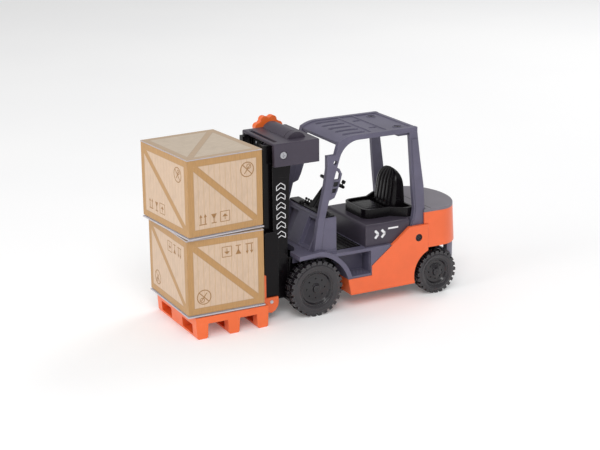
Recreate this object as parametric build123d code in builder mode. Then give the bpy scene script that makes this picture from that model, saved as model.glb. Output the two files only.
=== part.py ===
from build123d import *
import math
import os

os.makedirs("parts", exist_ok=True)

# Toy forklift truck with a crank-up load carriage, a pallet and two cardboard crates.
# Millimetres. +X points forward, to the forks, +Y to the driver's left and +Z up.
# The origin is on the ground, under the middle of the truck and its load.

# ---------------------------------------------------------------- driving sizes
wheelbase = 118.5
rear_overhang = 32.6            # rear axle to the back of the counterweight
load_back = 49.1                # front axle to the back of the lower crate
upper_crate_shift = 2.1         # upper crate ahead of the lower one
roof_height = 150.0
floor_height = 51.6             # top of the cab floor
ground_clearance = 11.0
body_half_width = 38.9          # outer face of the side panels
wheel_half_width = 40.0         # outer face of the tyres

front_tyre_radius = 24.0
front_tyre_width = 12.6
rear_tyre_radius = 19.2
rear_tyre_width = 11.6
axle_radius = 2.0
crate_length = 67.4             # along the truck
crate_width = 80.2              # across the truck
crate_wall_height = 62.2
lower_crate_turn = -0.6         # degrees, as stacked by hand
upper_crate_turn = 4.3
flange_overhang = 0.6           # crate base beyond the crate's sides
load_reach = load_back + crate_length / 2

# ---------------------------------------------------------------- walls and fits
wall = 2.0                      # moulded shells
panel_thickness = 3.1           # orange side panels
part_gap = 0.3                  # between pieces of different bodies
seam = 0.2                      # between mouldings that only meet
running_gap = 0.08              # radial, shaft in bore
push_gap = 0.02                 # radial, shaft pushed into a hub

# ---------------------------------------------------------------- stations
crate_corner_reach = (
    (crate_length / 2 + flange_overhang) * math.cos(math.radians(upper_crate_turn))
    + (crate_width / 2 + flange_overhang) * math.sin(math.radians(upper_crate_turn))
)
load_end = load_reach + upper_crate_shift + crate_corner_reach
overall_length = rear_overhang + wheelbase + load_end
rear_axle_x = rear_overhang - overall_length / 2
front_axle_x = rear_axle_x + wheelbase
load_x = front_axle_x + load_reach
sides = ((1, "left"), (-1, "right"))


def rear(distance):
    """X of a point this far ahead of the rear axle."""
    return rear_axle_x + distance


def front(distance):
    """X of a point this far ahead of the front axle."""
    return front_axle_x + distance


def across(side, outer, depth):
    """Side-view plane for a shape pushed depth towards -Y, with its outer face at outer."""
    return Plane.XZ.offset(-outer if side > 0 else outer - depth)


def outline(*points):
    """Closed straight-sided face in the current sketch, with its points where they are given."""
    Polygon(*points, align=None)


# ================================================================ chassis
chassis_half_width = 21.0
chassis_top = 49.0
chassis_back = rear(-12)
chassis_front = front(17.5)
chassis_length = chassis_front - chassis_back
chassis_middle = (chassis_front + chassis_back) / 2
post_radius = 3.6
post_stations = (rear(33), front(-33))
screw_shank = 1.1
screw_head_radius = 2.3
screw_head_height = 1.5

with BuildPart() as chassis:
    with BuildSketch(Plane.XY.offset(ground_clearance)):
        with Locations((chassis_middle, 0)):
            RectangleRounded(chassis_length, 2 * chassis_half_width, 3)
    extrude(amount=chassis_top - ground_clearance)
    with BuildSketch(Plane.XY.offset(ground_clearance + wall)):
        with Locations((chassis_middle, 0)):
            RectangleRounded(chassis_length - 2 * wall, 2 * (chassis_half_width - wall), 2)
    extrude(amount=chassis_top - ground_clearance, mode=Mode.SUBTRACT)
    # bearing bosses for both axles, inside and outside the side walls
    for axle_x, axle_z, inner_face in (
        (rear_axle_x, rear_tyre_radius, wheel_half_width - rear_tyre_width),
        (front_axle_x, front_tyre_radius, wheel_half_width - front_tyre_width),
    ):
        for side, hand in sides:
            boss_length = inner_face - part_gap - (chassis_half_width - wall)
            with BuildSketch(across(side, inner_face - part_gap, boss_length)):
                with Locations((axle_x, axle_z)):
                    Circle(axle_radius + 3)
            extrude(amount=boss_length)
        with BuildSketch(Plane.XZ.offset(-wheel_half_width)):
            with Locations((axle_x, axle_z)):
                Circle(axle_radius + running_gap)
        extrude(amount=2 * wheel_half_width, mode=Mode.SUBTRACT)
    # countersunk screw holes under the two posts of the front body
    with Locations(*[(x, 0, ground_clearance) for x in post_stations]):
        Cylinder(
            screw_head_radius + running_gap,
            screw_head_height,
            align=(Align.CENTER, Align.CENTER, Align.MIN),
            mode=Mode.SUBTRACT,
        )
        Cylinder(screw_shank + running_gap, 3 * wall, mode=Mode.SUBTRACT)
chassis.part.label = "chassis"
export_step(chassis.part, "parts/chassis.step")

# ================================================================ front body: fenders, floor and steps
guard_half_width = 34.5         # outer face of the overhead guard
fender_half_width = 39.0
fender_inner = chassis_half_width + seam
ledge_outer = fender_half_width - 0.4
fender_centre_x = front(3.5)
fender_centre_z = 17.5
fender_radius = 39.2
fender_thickness = 4.0
fender_top = 55.2
lip_front = front(15.8)
lip_top = 54.3
lip_bottom = 50.7
plinth_back = front(-21.5)
step_height = 29.0              # tread of the foot step
step_back = rear(66)
step_inner = 23.0
step_wall = 1.6
cover_half_width = body_half_width - panel_thickness - part_gap  # engine cover
cover_front = rear(69.5)
floor_back = rear(27)
floor_thickness = floor_height - chassis_top
diagonal_top = (rear(28.1), 63.8)
diagonal_foot = (rear(65.1), 35.0)


def diagonal_x(z):
    """X of the side panel's sloping edge at height z."""
    share = (z - diagonal_foot[1]) / (diagonal_top[1] - diagonal_foot[1])
    return diagonal_foot[0] + share * (diagonal_top[0] - diagonal_foot[0])


def arch_x(radius, z):
    """X of the fender arc's rear half at height z."""
    return fender_centre_x - math.sqrt(radius**2 - (z - fender_centre_z) ** 2)


def arch_z(radius, x):
    """Height of the fender arc at x."""
    return fender_centre_z + math.sqrt(radius**2 - (x - fender_centre_x) ** 2)


ledge_back = diagonal_x(chassis_top) + seam
fender_inside = fender_radius - fender_thickness

with BuildPart() as front_body:
    # floor plate, widening to the outer ledges ahead of the side panels
    with BuildSketch(Plane.XY.offset(chassis_top)):
        outline(
            (floor_back, -cover_half_width),
            (ledge_back, -cover_half_width),
            (ledge_back, -ledge_outer),
            (front(-14), -ledge_outer),
            (front(-14), ledge_outer),
            (ledge_back, ledge_outer),
            (ledge_back, cover_half_width),
            (floor_back, cover_half_width),
        )
    extrude(amount=floor_thickness)
    # raised deck ahead of the floor, with a front edge that draws back to the mast
    with BuildSketch(Plane.XY.offset(chassis_top)):
        outline(
            (plinth_back, -34.5),
            (lip_front - 2, -34.5),
            (lip_front - 2, -27),
            (front(7), -12),
            (front(7), 12),
            (lip_front - 2, 27),
            (lip_front - 2, 34.5),
            (plinth_back, 34.5),
        )
    extrude(amount=lip_top - chassis_top)
    for side, hand in sides:
        band_width = fender_half_width - fender_inner
        # fender: an arc over the wheel that runs into a flat front lip
        with BuildSketch(across(side, fender_half_width, band_width)):
            top_x = front(-5)
            inner_top_x = front(-3)
            with BuildLine():
                outer_arc = ThreePointArc(
                    (arch_x(fender_radius, step_height), step_height),
                    (arch_x(fender_radius, 47), 47),
                    (top_x, arch_z(fender_radius, top_x)),
                )
                Polyline(
                    outer_arc @ 1,
                    (front(1), fender_top),
                    (lip_front, lip_top),
                    (lip_front, lip_bottom),
                    (inner_top_x, arch_z(fender_inside, inner_top_x)),
                )
                ThreePointArc(
                    (inner_top_x, arch_z(fender_inside, inner_top_x)),
                    (arch_x(fender_inside, 43), 43),
                    (arch_x(fender_inside, step_height - 2), step_height - 2),
                )
                Polyline(
                    (arch_x(fender_inside, step_height - 2), step_height - 2),
                    (arch_x(fender_radius, step_height - 2), step_height - 2),
                    outer_arc @ 0,
                )
            make_face()
        extrude(amount=band_width)
        # wheel house wall between the fender and the chassis
        with BuildSketch(across(side, fender_inner + 1.4, 1.4)):
            outline(
                (front(-21), 44),
                (lip_front - 2, 44),
                (lip_front - 2, chassis_top + 1),
                (front(-21), chassis_top + 1),
            )
        extrude(amount=1.4)
        # foot step: tread, back wall and rear wall of an open pocket
        tread_outer = body_half_width - panel_thickness - seam
        step_depth = tread_outer - (step_inner - step_wall)
        with BuildSketch(across(side, tread_outer, step_depth)):
            outline(
                (step_back - step_wall, step_height - 2),
                (arch_x(fender_radius - 1, step_height), step_height - 2),
                (arch_x(fender_radius - 1, step_height), step_height),
                (step_back, step_height),
                (step_back, chassis_top + 1),
                (step_back - step_wall, chassis_top + 1),
            )
        extrude(amount=step_depth)
        with BuildSketch(across(side, ledge_outer, ledge_outer - tread_outer)):
            outline(
                (diagonal_foot[0] + seam, step_height - 2),
                (arch_x(fender_radius - 1, step_height), step_height - 2),
                (arch_x(fender_radius - 1, step_height), step_height),
                (diagonal_foot[0] + seam, step_height),
            )
        extrude(amount=ledge_outer - tread_outer)
        with BuildSketch(across(side, step_inner, step_wall)):
            outline(
                (step_back - step_wall, step_height - 2),
                (arch_x(fender_radius - 1, step_height), step_height - 2),
                (arch_x(fender_radius - 1, chassis_top), chassis_top),
                (step_back - step_wall, chassis_top + 1),
            )
        extrude(amount=step_wall)
        # three-cornered side wall between the ledge and the sloping orange panel
        with BuildSketch(across(side, ledge_outer, 1.8)):
            outline(
                (step_back, floor_height - 1),
                (step_back, step_height),
                (diagonal_foot[0] + seam, step_height),
                (diagonal_foot[0] + seam, diagonal_foot[1] + 0.5),
                (diagonal_x(floor_height - 1) + 0.6, floor_height - 1),
            )
        extrude(amount=1.8)
    # level seat for the cowl and the front pillars
    with Locations((plinth_back - 1, 0, lip_top)):
        Box(
            front(2.5) - plinth_back + 1,
            2 * (guard_half_width + seam),
            10,
            align=(Align.MIN, Align.CENTER, Align.MIN),
            mode=Mode.SUBTRACT,
        )
    # two screw posts that stand inside the chassis
    with Locations(*[(x, 0, ground_clearance + wall) for x in post_stations]):
        Cylinder(
            post_radius,
            chassis_top - ground_clearance - wall,
            align=(Align.CENTER, Align.CENTER, Align.MIN),
        )
        Cylinder(screw_shank, 22, mode=Mode.SUBTRACT)
front_body.part.label = "front_body"
export_step(front_body.part, "parts/front_body.step")

with BuildPart() as chassis_screws:
    with Locations(*[(x, 0, ground_clearance) for x in post_stations]):
        Cylinder(
            screw_head_radius,
            screw_head_height,
            align=(Align.CENTER, Align.CENTER, Align.MIN),
        )
        Cylinder(screw_shank, 12, align=(Align.CENTER, Align.CENTER, Align.MIN))
        Box(
            3,
            0.7,
            0.8,
            align=(Align.CENTER, Align.CENTER, Align.MIN),
            mode=Mode.SUBTRACT,
        )
        Box(
            0.7,
            3,
            0.8,
            align=(Align.CENTER, Align.CENTER, Align.MIN),
            mode=Mode.SUBTRACT,
        )
chassis_screws.part.label = "chassis_screws"
export_step(chassis_screws.part, "parts/chassis_screws.step")

# ================================================================ orange side panels
panel_bottom = 12.4
panel_seam_x = rear(8.8)
panel_top = 64.0
rear_arch_radius = rear_tyre_radius + 3.6
step_shelf = step_height - 2 - seam
screw_station = (rear(18.5), 53.2)
recess_radius = 3.3

for side, hand in sides:
    with BuildPart() as panel:
        with BuildSketch(across(side, body_half_width, panel_thickness)):
            outline(
                (rear(22.2), panel_bottom),
                (rear(85.1), panel_bottom),
                (rear(88.1), step_shelf),
                (diagonal_foot[0], step_shelf),
                diagonal_foot,
                diagonal_top,
                (rear(26), panel_top),
                (panel_seam_x, panel_top),
                (panel_seam_x, 40),
            )
            with Locations((rear_axle_x, rear_tyre_radius)):
                Circle(rear_arch_radius, mode=Mode.SUBTRACT)
        extrude(amount=panel_thickness)
        # inward flange along the bottom and behind the front wheel
        flange = body_half_width - chassis_half_width - seam
        with BuildSketch(across(side, body_half_width, flange)):
            outline(
                (rear(24), panel_bottom),
                (rear(85.1), panel_bottom),
                (rear(88.1), step_shelf),
                (rear(86), step_shelf),
                (rear(83.4), panel_bottom + wall),
                (rear(24), panel_bottom + wall),
            )
        extrude(amount=flange)
        # dished screw recess
        with BuildSketch(across(side, body_half_width, 1.4)):
            with Locations(screw_station):
                Circle(recess_radius)
        extrude(amount=1.4, mode=Mode.SUBTRACT)
        with BuildSketch(across(side, body_half_width, panel_thickness)):
            with Locations(screw_station):
                Circle(screw_shank + running_gap)
        extrude(amount=panel_thickness, mode=Mode.SUBTRACT)
    panel.part.label = f"side_panel_{hand}"
    export_step(panel.part, f"parts/side_panel_{hand}.step")

with BuildPart() as panel_screws:
    for side, hand in sides:
        head_face = body_half_width - 0.3
        with BuildSketch(across(side, head_face, 1.1)):
            with Locations(screw_station):
                Circle(recess_radius - 0.5)
        extrude(amount=1.1)
        with BuildSketch(across(side, head_face, 9)):
            with Locations(screw_station):
                Circle(screw_shank)
        extrude(amount=9)
        with BuildSketch(across(side, head_face, 0.7)):
            with Locations(screw_station):
                Rectangle(3.4, 0.8)
                Rectangle(0.8, 3.4)
        extrude(amount=0.7, mode=Mode.SUBTRACT)
panel_screws.part.label = "panel_screws"
export_step(panel_screws.part, "parts/panel_screws.step")

# ================================================================ counterweight, top and bumper
weight_bottom = 43.0
weight_top = 74.4
weight_front_high = rear(12.4)
weight_front_low = rear(8.6)
weight_centre_x = rear(-6)
weight_draft = 3.0              # degrees
weight_wall = 1.5
top_shrink = (weight_top - weight_bottom) * math.tan(math.radians(weight_draft))


def plan(shrink, forward):
    """Half-round plan of the counterweight, drawn in by shrink, reaching forward to x."""
    depth = rear_overhang - 6 - shrink
    half_width = body_half_width - shrink
    with Locations((weight_centre_x, 0)):
        Ellipse(depth, half_width)
        Rectangle(
            2 * depth + 40,
            2 * half_width + 40,
            align=(Align.MIN, Align.CENTER),
            mode=Mode.SUBTRACT,
        )
        Rectangle(
            forward - weight_centre_x,
            2 * half_width,
            align=(Align.MIN, Align.CENTER),
        )


with BuildPart() as counterweight:
    for inset, reach, mode in ((0, rear(30), Mode.ADD), (weight_wall, rear(40), Mode.SUBTRACT)):
        with BuildSketch(Plane.XY.offset(weight_bottom)) as lower_plan:
            plan(inset, reach)
        with BuildSketch(Plane.XY.offset(weight_top)) as upper_plan:
            plan(inset + top_shrink, reach)
        loft((lower_plan.sketch, upper_plan.sketch), mode=mode)
    with Locations((weight_front_high, 0, weight_bottom)):
        Box(
            60,
            100,
            60,
            align=(Align.MIN, Align.CENTER, Align.MIN),
            mode=Mode.SUBTRACT,
        )
    with Locations((weight_front_low, 0, weight_bottom)):
        Box(
            60,
            100,
            panel_top + seam - weight_bottom,
            align=(Align.MIN, Align.CENTER, Align.MIN),
            mode=Mode.SUBTRACT,
        )
counterweight.part.label = "counterweight"
export_step(counterweight.part, "parts/counterweight.step")

top_height = 76.9
pillar_outer = body_half_width - panel_thickness - seam
pillar_inner = 30.4
cover_top = 70.4
tray_back = rear(17.6)

with BuildPart() as top_cover:
    with BuildSketch(Plane.XY.offset(weight_top)):
        plan(top_shrink, weight_front_high)
    extrude(amount=top_height - weight_top)
    fillet(top_cover.edges().group_by(Axis.Z)[-1], 0.8)
    # tongue between the rear pillars, down to the engine cover behind the seat
    with Locations((weight_front_high - 1, 0, cover_top)):
        Box(
            tray_back - seam - weight_front_high + 1,
            2 * (pillar_inner - 0.6),
            top_height - cover_top,
            align=(Align.MIN, Align.CENTER, Align.MIN),
        )
    # room for the rear pillars
    for side, hand in sides:
        with Locations((rear(9.8), side * (pillar_inner - 0.4), cover_top)):
            Box(
                30,
                pillar_outer - pillar_inner + 0.8,
                30,
                align=(Align.MIN, Align.MIN if side > 0 else Align.MAX, Align.MIN),
                mode=Mode.SUBTRACT,
            )
    # locating rib inside the counterweight
    with BuildSketch(Plane.XY.offset(weight_top - 3)):
        plan(top_shrink + weight_wall + seam, rear(6))
    extrude(amount=3)
top_cover.part.label = "top_cover"
export_step(top_cover.part, "parts/top_cover.step")

bumper_bottom = 20.0
bumper_inset = 1.2
with BuildPart() as rear_bumper:
    with BuildSketch(Plane.XY.offset(bumper_bottom)):
        plan(bumper_inset, rear_axle_x)
    extrude(amount=weight_bottom - bumper_bottom)
    with BuildSketch(Plane.XY.offset(bumper_bottom)):
        plan(bumper_inset + wall, rear_axle_x)
    extrude(amount=weight_bottom - bumper_bottom - wall, mode=Mode.SUBTRACT)
    with Locations((chassis_back, 0, bumper_bottom)):
        Box(
            60,
            100,
            60,
            align=(Align.MIN, Align.CENTER, Align.MIN),
            mode=Mode.SUBTRACT,
        )
    # wheel house on each side
    wheel_room = wheel_half_width - rear_tyre_width - 1.2
    for side, hand in sides:
        with BuildSketch(across(side, body_half_width + 4, body_half_width + 4 - wheel_room)):
            with Locations((rear_axle_x, rear_tyre_radius)):
                Circle(rear_tyre_radius + 2.2)
        extrude(amount=body_half_width + 4 - wheel_room, mode=Mode.SUBTRACT)
    # towing slot
    with Locations((rear(-rear_overhang), 0, bumper_bottom + 9)):
        Box(12, 9, 6, mode=Mode.SUBTRACT)
rear_bumper.part.label = "rear_bumper"
export_step(rear_bumper.part, "parts/rear_bumper.step")

# ================================================================ engine cover under the seat
cover_back = rear(10.2)
pillar_foot = panel_top - 0.5
pillar_notch_front = rear(26.5)

with BuildPart() as engine_cover:
    with BuildSketch(Plane.XY.offset(chassis_top)):
        with Locations((cover_back, 0)):
            Rectangle(
                cover_front - cover_back,
                2 * cover_half_width,
                align=(Align.MIN, Align.CENTER),
            )
    extrude(amount=cover_top - chassis_top)
    top_edges = engine_cover.faces().sort_by(Axis.Z)[-1].edges()
    fillet(top_edges, 2.2)
    with BuildSketch(Plane.XY.offset(chassis_top)):
        with Locations((cover_back + wall, 0)):
            Rectangle(
                cover_front - cover_back - 2 * wall,
                2 * (cover_half_width - wall),
                align=(Align.MIN, Align.CENTER),
            )
    extrude(amount=cover_top - chassis_top - wall, mode=Mode.SUBTRACT)
    # the floor plate lies under the front of the cover
    with Locations((floor_back, 0, chassis_top)):
        Box(
            100,
            100,
            floor_thickness,
            align=(Align.MIN, Align.CENTER, Align.MIN),
            mode=Mode.SUBTRACT,
        )
    for side, hand in sides:
        # seat for the rear pillar
        with Locations((cover_back - 1, side * (pillar_inner - seam), pillar_foot)):
            Box(
                pillar_notch_front - cover_back + 1,
                20,
                30,
                align=(Align.MIN, Align.MIN if side > 0 else Align.MAX, Align.MIN),
                mode=Mode.SUBTRACT,
            )
        with Locations((cover_back, side * (pillar_inner - seam), pillar_foot - wall)):
            Box(
                pillar_notch_front - cover_back,
                cover_half_width - pillar_inner + seam,
                wall,
                align=(Align.MIN, Align.MIN if side > 0 else Align.MAX, Align.MIN),
            )
        with Locations((cover_back, side * (pillar_inner - seam), pillar_foot - wall)):
            Box(
                pillar_notch_front - cover_back + wall,
                wall,
                cover_top - pillar_foot,
                align=(Align.MIN, Align.MAX if side > 0 else Align.MIN, Align.MIN),
            )
        # boss that takes the side panel's screw
        with BuildSketch(across(side, cover_half_width, 7)):
            with Locations(screw_station):
                Circle(recess_radius)
        extrude(amount=7)
        with BuildSketch(across(side, cover_half_width, 7)):
            with Locations(screw_station):
                Circle(screw_shank)
        extrude(amount=7, mode=Mode.SUBTRACT)
engine_cover.part.label = "engine_cover"
export_step(engine_cover.part, "parts/engine_cover.step")

# ================================================================ overhead guard
rail_width = 4.5
rail_depth = 4.2
plate_thickness = 2.6
plate_drop = 1.0                # roof skin below the rim
roof_back = rear(18.9)
roof_bend = front(-40)          # where the roof starts to droop
roof_nose = (front(-24), roof_height - 4)
bracket_top = 135.4
bracket_face = front(-13)
pillar_base = (front(-0.3), lip_top)
pillar_base_back = (front(-6.9), lip_top)
slot_count = 5
slot_pitch = 11.6
screw_spot = (rear(31), 22.0)
tab_thickness = 2.6

with BuildPart() as overhead_guard:
    for side, hand in sides:
        # roof rail and front pillar in one sweep of the side profile
        with BuildSketch(across(side, guard_half_width, rail_width)):
            with BuildLine():
                top_line = Line((roof_back, roof_height), (roof_bend, roof_height))
                nose = ThreePointArc(
                    top_line @ 1,
                    (front(-31), roof_height - 1.1),
                    roof_nose,
                )
                Polyline(
                    nose @ 1,
                    (front(-20.8), bracket_top),
                    (bracket_face, bracket_top),
                    (bracket_face, 124.5),
                    (front(-10.8), 110.5),
                    (front(-4.1), 80.5),
                    pillar_base,
                    pillar_base_back,
                    (front(-9.8), 79.6),
                    (front(-18.4), 112),
                    (front(-21), 121),
                    (front(-24.3), roof_height - 19),
                )
                bend = ThreePointArc(
                    (front(-24.3), roof_height - 19),
                    (front(-30), roof_height - 9.2),
                    (front(-41.5), roof_height - rail_depth),
                )
                Polyline(bend @ 1, (roof_back, roof_height - rail_depth), top_line @ 0)
            make_face()
            with Locations((front(-20.7), 128.8)):
                Circle(1.9, mode=Mode.SUBTRACT)
        extrude(amount=rail_width)
        # grab handle behind the front pillar
        handle_width = 3.0
        pocket_depth = 1.4
        with BuildSketch(across(side, guard_half_width - 0.8, handle_width)):
            outline(
                (front(-21.5), 124.5),
                (front(-24.8), 123.2),
                (front(-27.2), 118.5),
                (front(-25.8), 113),
                (front(-22.9), 104.7),
                (front(-20), 98.9),
                (front(-15.6), 97.2),
                (front(-13), 97.2),
                (front(-19), 120),
            )
            with Locations((front(-22.1), 115.6)):
                Polygon(
                    (0.2, 5.9),
                    (-1.7, 5.9),
                    (-3.5, 2.8),
                    (-2.6, -1.6),
                    (2.6, -1.6),
                    (1.6, 2.6),
                    align=None,
                    mode=Mode.SUBTRACT,
                )
        extrude(amount=handle_width)
        # two blind pockets under the handle's opening
        with BuildSketch(across(side, guard_half_width - 0.8, pocket_depth)):
            with Locations((front(-22.1), 115.6)):
                outline((-2.5, -3.3), (2.6, -3.3), (3.6, -7.3), (-1.1, -7.3))
                outline((-0.6, -8.7), (4.0, -8.7), (4.6, -12.4), (0.9, -12.4))
        extrude(amount=pocket_depth, mode=Mode.SUBTRACT)
    # roof skin, drooping at the nose
    skin_half_width = guard_half_width - rail_width
    with BuildSketch(Plane.XZ.offset(-skin_half_width)):
        with BuildLine():
            skin_top = roof_height - plate_drop
            skin_line = Line((roof_back, skin_top), (roof_bend, skin_top))
            skin_nose = ThreePointArc(
                skin_line @ 1,
                (front(-31), skin_top - 1.1),
                (roof_nose[0], roof_nose[1] - plate_drop),
            )
            skin_face = Line(
                skin_nose @ 1,
                (roof_nose[0] - 0.4, roof_nose[1] - plate_drop - plate_thickness),
            )
            skin_under = ThreePointArc(
                skin_face @ 1,
                (front(-31.6), skin_top - 1.1 - plate_thickness),
                (roof_bend, skin_top - plate_thickness),
            )
            Polyline(skin_under @ 1, (roof_back, skin_top - plate_thickness), skin_line @ 0)
        make_face()
    extrude(amount=2 * skin_half_width)
    # raised cross ribs and the rear beam
    for rib_x, rib_width in ((roof_back + 1.6, 3.2), (rear(44.6), 2.0), (rear(59.4), 2.0)):
        with Locations((rib_x, 0, skin_top - 1)):
            Box(
                rib_width,
                2 * skin_half_width,
                plate_drop + 0.7,
                align=(Align.CENTER, Align.CENTER, Align.MIN),
            )
    # long slots through the front of the skin
    slot_back = rear(63.6)
    slot_front = front(-33)
    with BuildSketch(Plane.XY.offset(roof_height + 1)):
        with Locations(((slot_back + slot_front) / 2, 0)):
            with GridLocations(1, slot_pitch, 1, slot_count):
                SlotOverall(slot_front - slot_back, 5.4)
    extrude(amount=-12, mode=Mode.SUBTRACT)
    # two lifting holes in the middle panel
    with BuildSketch(Plane.XY.offset(roof_height + 1)):
        with Locations((rear(50.5), 0)):
            with GridLocations(1, 27.6, 1, 2):
                RectangleRounded(7.2, 3.8, 0.8)
    extrude(amount=-12, mode=Mode.SUBTRACT)
    # dished screw seats near the rear corners
    with BuildSketch(Plane.XY.offset(roof_height - rail_depth)):
        with Locations((screw_spot[0], screw_spot[1]), (screw_spot[0], -screw_spot[1])):
            Circle(4.4)
    extrude(amount=skin_top + 0.6 - roof_height + rail_depth)
    with BuildSketch(Plane.XY.offset(skin_top + 0.6)):
        with Locations((screw_spot[0], screw_spot[1]), (screw_spot[0], -screw_spot[1])):
            Circle(3.4)
    extrude(amount=-1.7, mode=Mode.SUBTRACT)
    with BuildSketch(Plane.XY.offset(roof_height)):
        with Locations((screw_spot[0], screw_spot[1]), (screw_spot[0], -screw_spot[1])):
            Circle(screw_shank + running_gap)
    extrude(amount=-8, mode=Mode.SUBTRACT)
overhead_guard.part.label = "overhead_guard"
export_step(overhead_guard.part, "parts/overhead_guard.step")

screw_seat_z = skin_top + 0.6 - 1.7
with BuildPart() as roof_screws:
    for side, hand in sides:
        with Locations((screw_spot[0], side * screw_spot[1], screw_seat_z)):
            Cylinder(2.7, 1.2, align=(Align.CENTER, Align.CENTER, Align.MIN))
            Cylinder(screw_shank, 4.2, align=(Align.CENTER, Align.CENTER, Align.MAX))
        with Locations((screw_spot[0], side * screw_spot[1], screw_seat_z + 0.6)):
            Box(
                3.4,
                0.8,
                0.6,
                align=(Align.CENTER, Align.CENTER, Align.MIN),
                mode=Mode.SUBTRACT,
            )
            Box(
                0.8,
                3.4,
                0.6,
                align=(Align.CENTER, Align.CENTER, Align.MIN),
                mode=Mode.SUBTRACT,
            )
roof_screws.part.label = "roof_screws"
export_step(roof_screws.part, "parts/roof_screws.step")

# rear pillars: tapered posts with a flared foot and a tab under the roof skin
pillar_head = roof_height - rail_depth
tab_top = pillar_head
for side, hand in sides:
    with BuildPart() as pillar:
        with BuildSketch(across(side, guard_half_width, guard_half_width - pillar_inner)):
            outline(
                (rear(18.9), pillar_head),
                (rear(26.7), pillar_head),
                (rear(23.1), 99),
                (rear(21), 78),
                (rear(22), 71),
                (rear(25.1), pillar_foot),
                (rear(10.4), pillar_foot),
                (rear(12.6), 98),
            )
        extrude(amount=guard_half_width - pillar_inner)
        # outer rib that widens the post
        with BuildSketch(across(side, pillar_outer, pillar_outer - guard_half_width)):
            outline(
                (rear(19.2), pillar_head - 6),
                (rear(24.6), pillar_head - 6),
                (rear(21.6), 99),
                (rear(19.6), 78),
                (rear(20.6), 71),
                (rear(23.6), pillar_foot),
                (rear(10.4), pillar_foot),
                (rear(12.6), 98),
            )
        extrude(amount=pillar_outer - guard_half_width)
        tab_inner = screw_spot[1] - 4
        with Locations((rear(19.2), side * tab_inner, tab_top)):
            Box(
                rear(36) - rear(19.2),
                pillar_inner + 1 - tab_inner,
                tab_thickness,
                align=(Align.MIN, Align.MIN if side > 0 else Align.MAX, Align.MAX),
            )
        with Locations((screw_spot[0], side * screw_spot[1], tab_top)):
            Cylinder(screw_shank, 3 * tab_thickness, mode=Mode.SUBTRACT)
    pillar.part.label = f"rear_pillar_{hand}"
    export_step(pillar.part, f"parts/rear_pillar_{hand}.step")

# ================================================================ cowl and dashboard
cowl_base = lip_top
cowl_top = 82.3
cowl_back = plinth_back
cowl_half_width = 34.0
cowl_core = 28.2
cowl_foot = front(2)
cowl_brow = front(-10.8)
cowl_wall = 1.8


def cowl_front_x(z):
    """X of the cowl's sloping front at height z."""
    share = (z - cowl_base) / (cowl_top - cowl_base)
    return cowl_foot + share * (cowl_brow - cowl_foot)


with BuildPart() as cowl:
    with BuildSketch(Plane.XZ.offset(-cowl_core)):
        outline(
            (cowl_back, cowl_base),
            (cowl_foot, cowl_base),
            (cowl_brow, cowl_top),
            (cowl_back, cowl_top),
        )
    extrude(amount=2 * cowl_core)
    # side cheeks behind the front pillars
    for side, hand in sides:
        with BuildSketch(across(side, cowl_half_width, cowl_half_width - cowl_core)):
            outline(
                (cowl_back, cowl_base),
                (front(-7.6), cowl_base),
                (front(-7.4), fender_top + 0.3),
                (front(-10.2), 79.6),
                (front(-10.9), cowl_top),
                (cowl_back, cowl_top),
            )
        extrude(amount=cowl_half_width - cowl_core)
    # hollow from below
    with BuildSketch(Plane.XZ.offset(-cowl_half_width + cowl_wall)):
        outline(
            (cowl_back + cowl_wall, cowl_base),
            (front(-7.6) - cowl_wall - 1, cowl_base),
            (front(-10.9) - cowl_wall - 1, cowl_top - cowl_wall),
            (cowl_back + cowl_wall, cowl_top - cowl_wall),
        )
    extrude(amount=2 * (cowl_half_width - cowl_wall), mode=Mode.SUBTRACT)
    # deep bays on both sides of the middle block, between it and the pillars
    for side, hand in sides:
        bay_outer = cowl_core - 1.6
        bay_inner = 9.0
        with BuildSketch(across(side, bay_outer, bay_outer - bay_inner)):
            outline(
                (cowl_foot + 1, cowl_base + 1.5),
                (cowl_foot - 5.5, cowl_base + 1.5),
                (cowl_front_x(cowl_top - 4) - 4.2, cowl_top - 4),
                (cowl_foot + 1, cowl_top - 4),
            )
        extrude(amount=bay_outer - bay_inner, mode=Mode.SUBTRACT)
    # brow along the top of the sloping front
    with Locations((cowl_brow, 0, cowl_top)):
        Box(2.2, 2 * cowl_core, 1.6, align=(Align.CENTER, Align.CENTER, Align.MAX))
cowl.part.label = "cowl"
export_step(cowl.part, "parts/cowl.step")

# steering geometry
column_tilt = 32.0              # degrees back from upright
hub_x = front(-36.6)
hub_z = 102.6
steer_axis = (-math.sin(math.radians(column_tilt)), 0, math.cos(math.radians(column_tilt)))
dash_height = 1.3
dash_top = cowl_top + dash_height
column_length = (hub_z - dash_top) / steer_axis[2]
column_foot_x = hub_x - steer_axis[0] * column_length

gauge_x = front(-13.6)
gauge_y = -13.0

with BuildPart() as dashboard:
    with BuildSketch(Plane.XY.offset(cowl_top)):
        with Locations(((cowl_back + cowl_brow) / 2 - 0.4, 0)):
            RectangleRounded(cowl_brow - cowl_back - 1.6, 2 * cowl_half_width - 3, 1.4)
    extrude(amount=dash_height)
    # instrument hood and a round gauge to the right of the column
    with Locations((gauge_x, gauge_y, dash_top)):
        Cylinder(2.6, 1.6, align=(Align.CENTER, Align.CENTER, Align.MIN))
        Cylinder(1.9, 1.2, align=(Align.CENTER, Align.CENTER, Align.MIN))
    with Locations((gauge_x, gauge_y, dash_top + 0.6)):
        Cylinder(2.0, 1.0, align=(Align.CENTER, Align.CENTER, Align.MIN), mode=Mode.SUBTRACT)
    with Locations((front(-14.5), 12, dash_top)):
        Box(4.4, 9, 1.4, align=(Align.CENTER, Align.CENTER, Align.MIN))
dashboard.part.label = "dashboard"
export_step(dashboard.part, "parts/dashboard.step")

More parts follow.
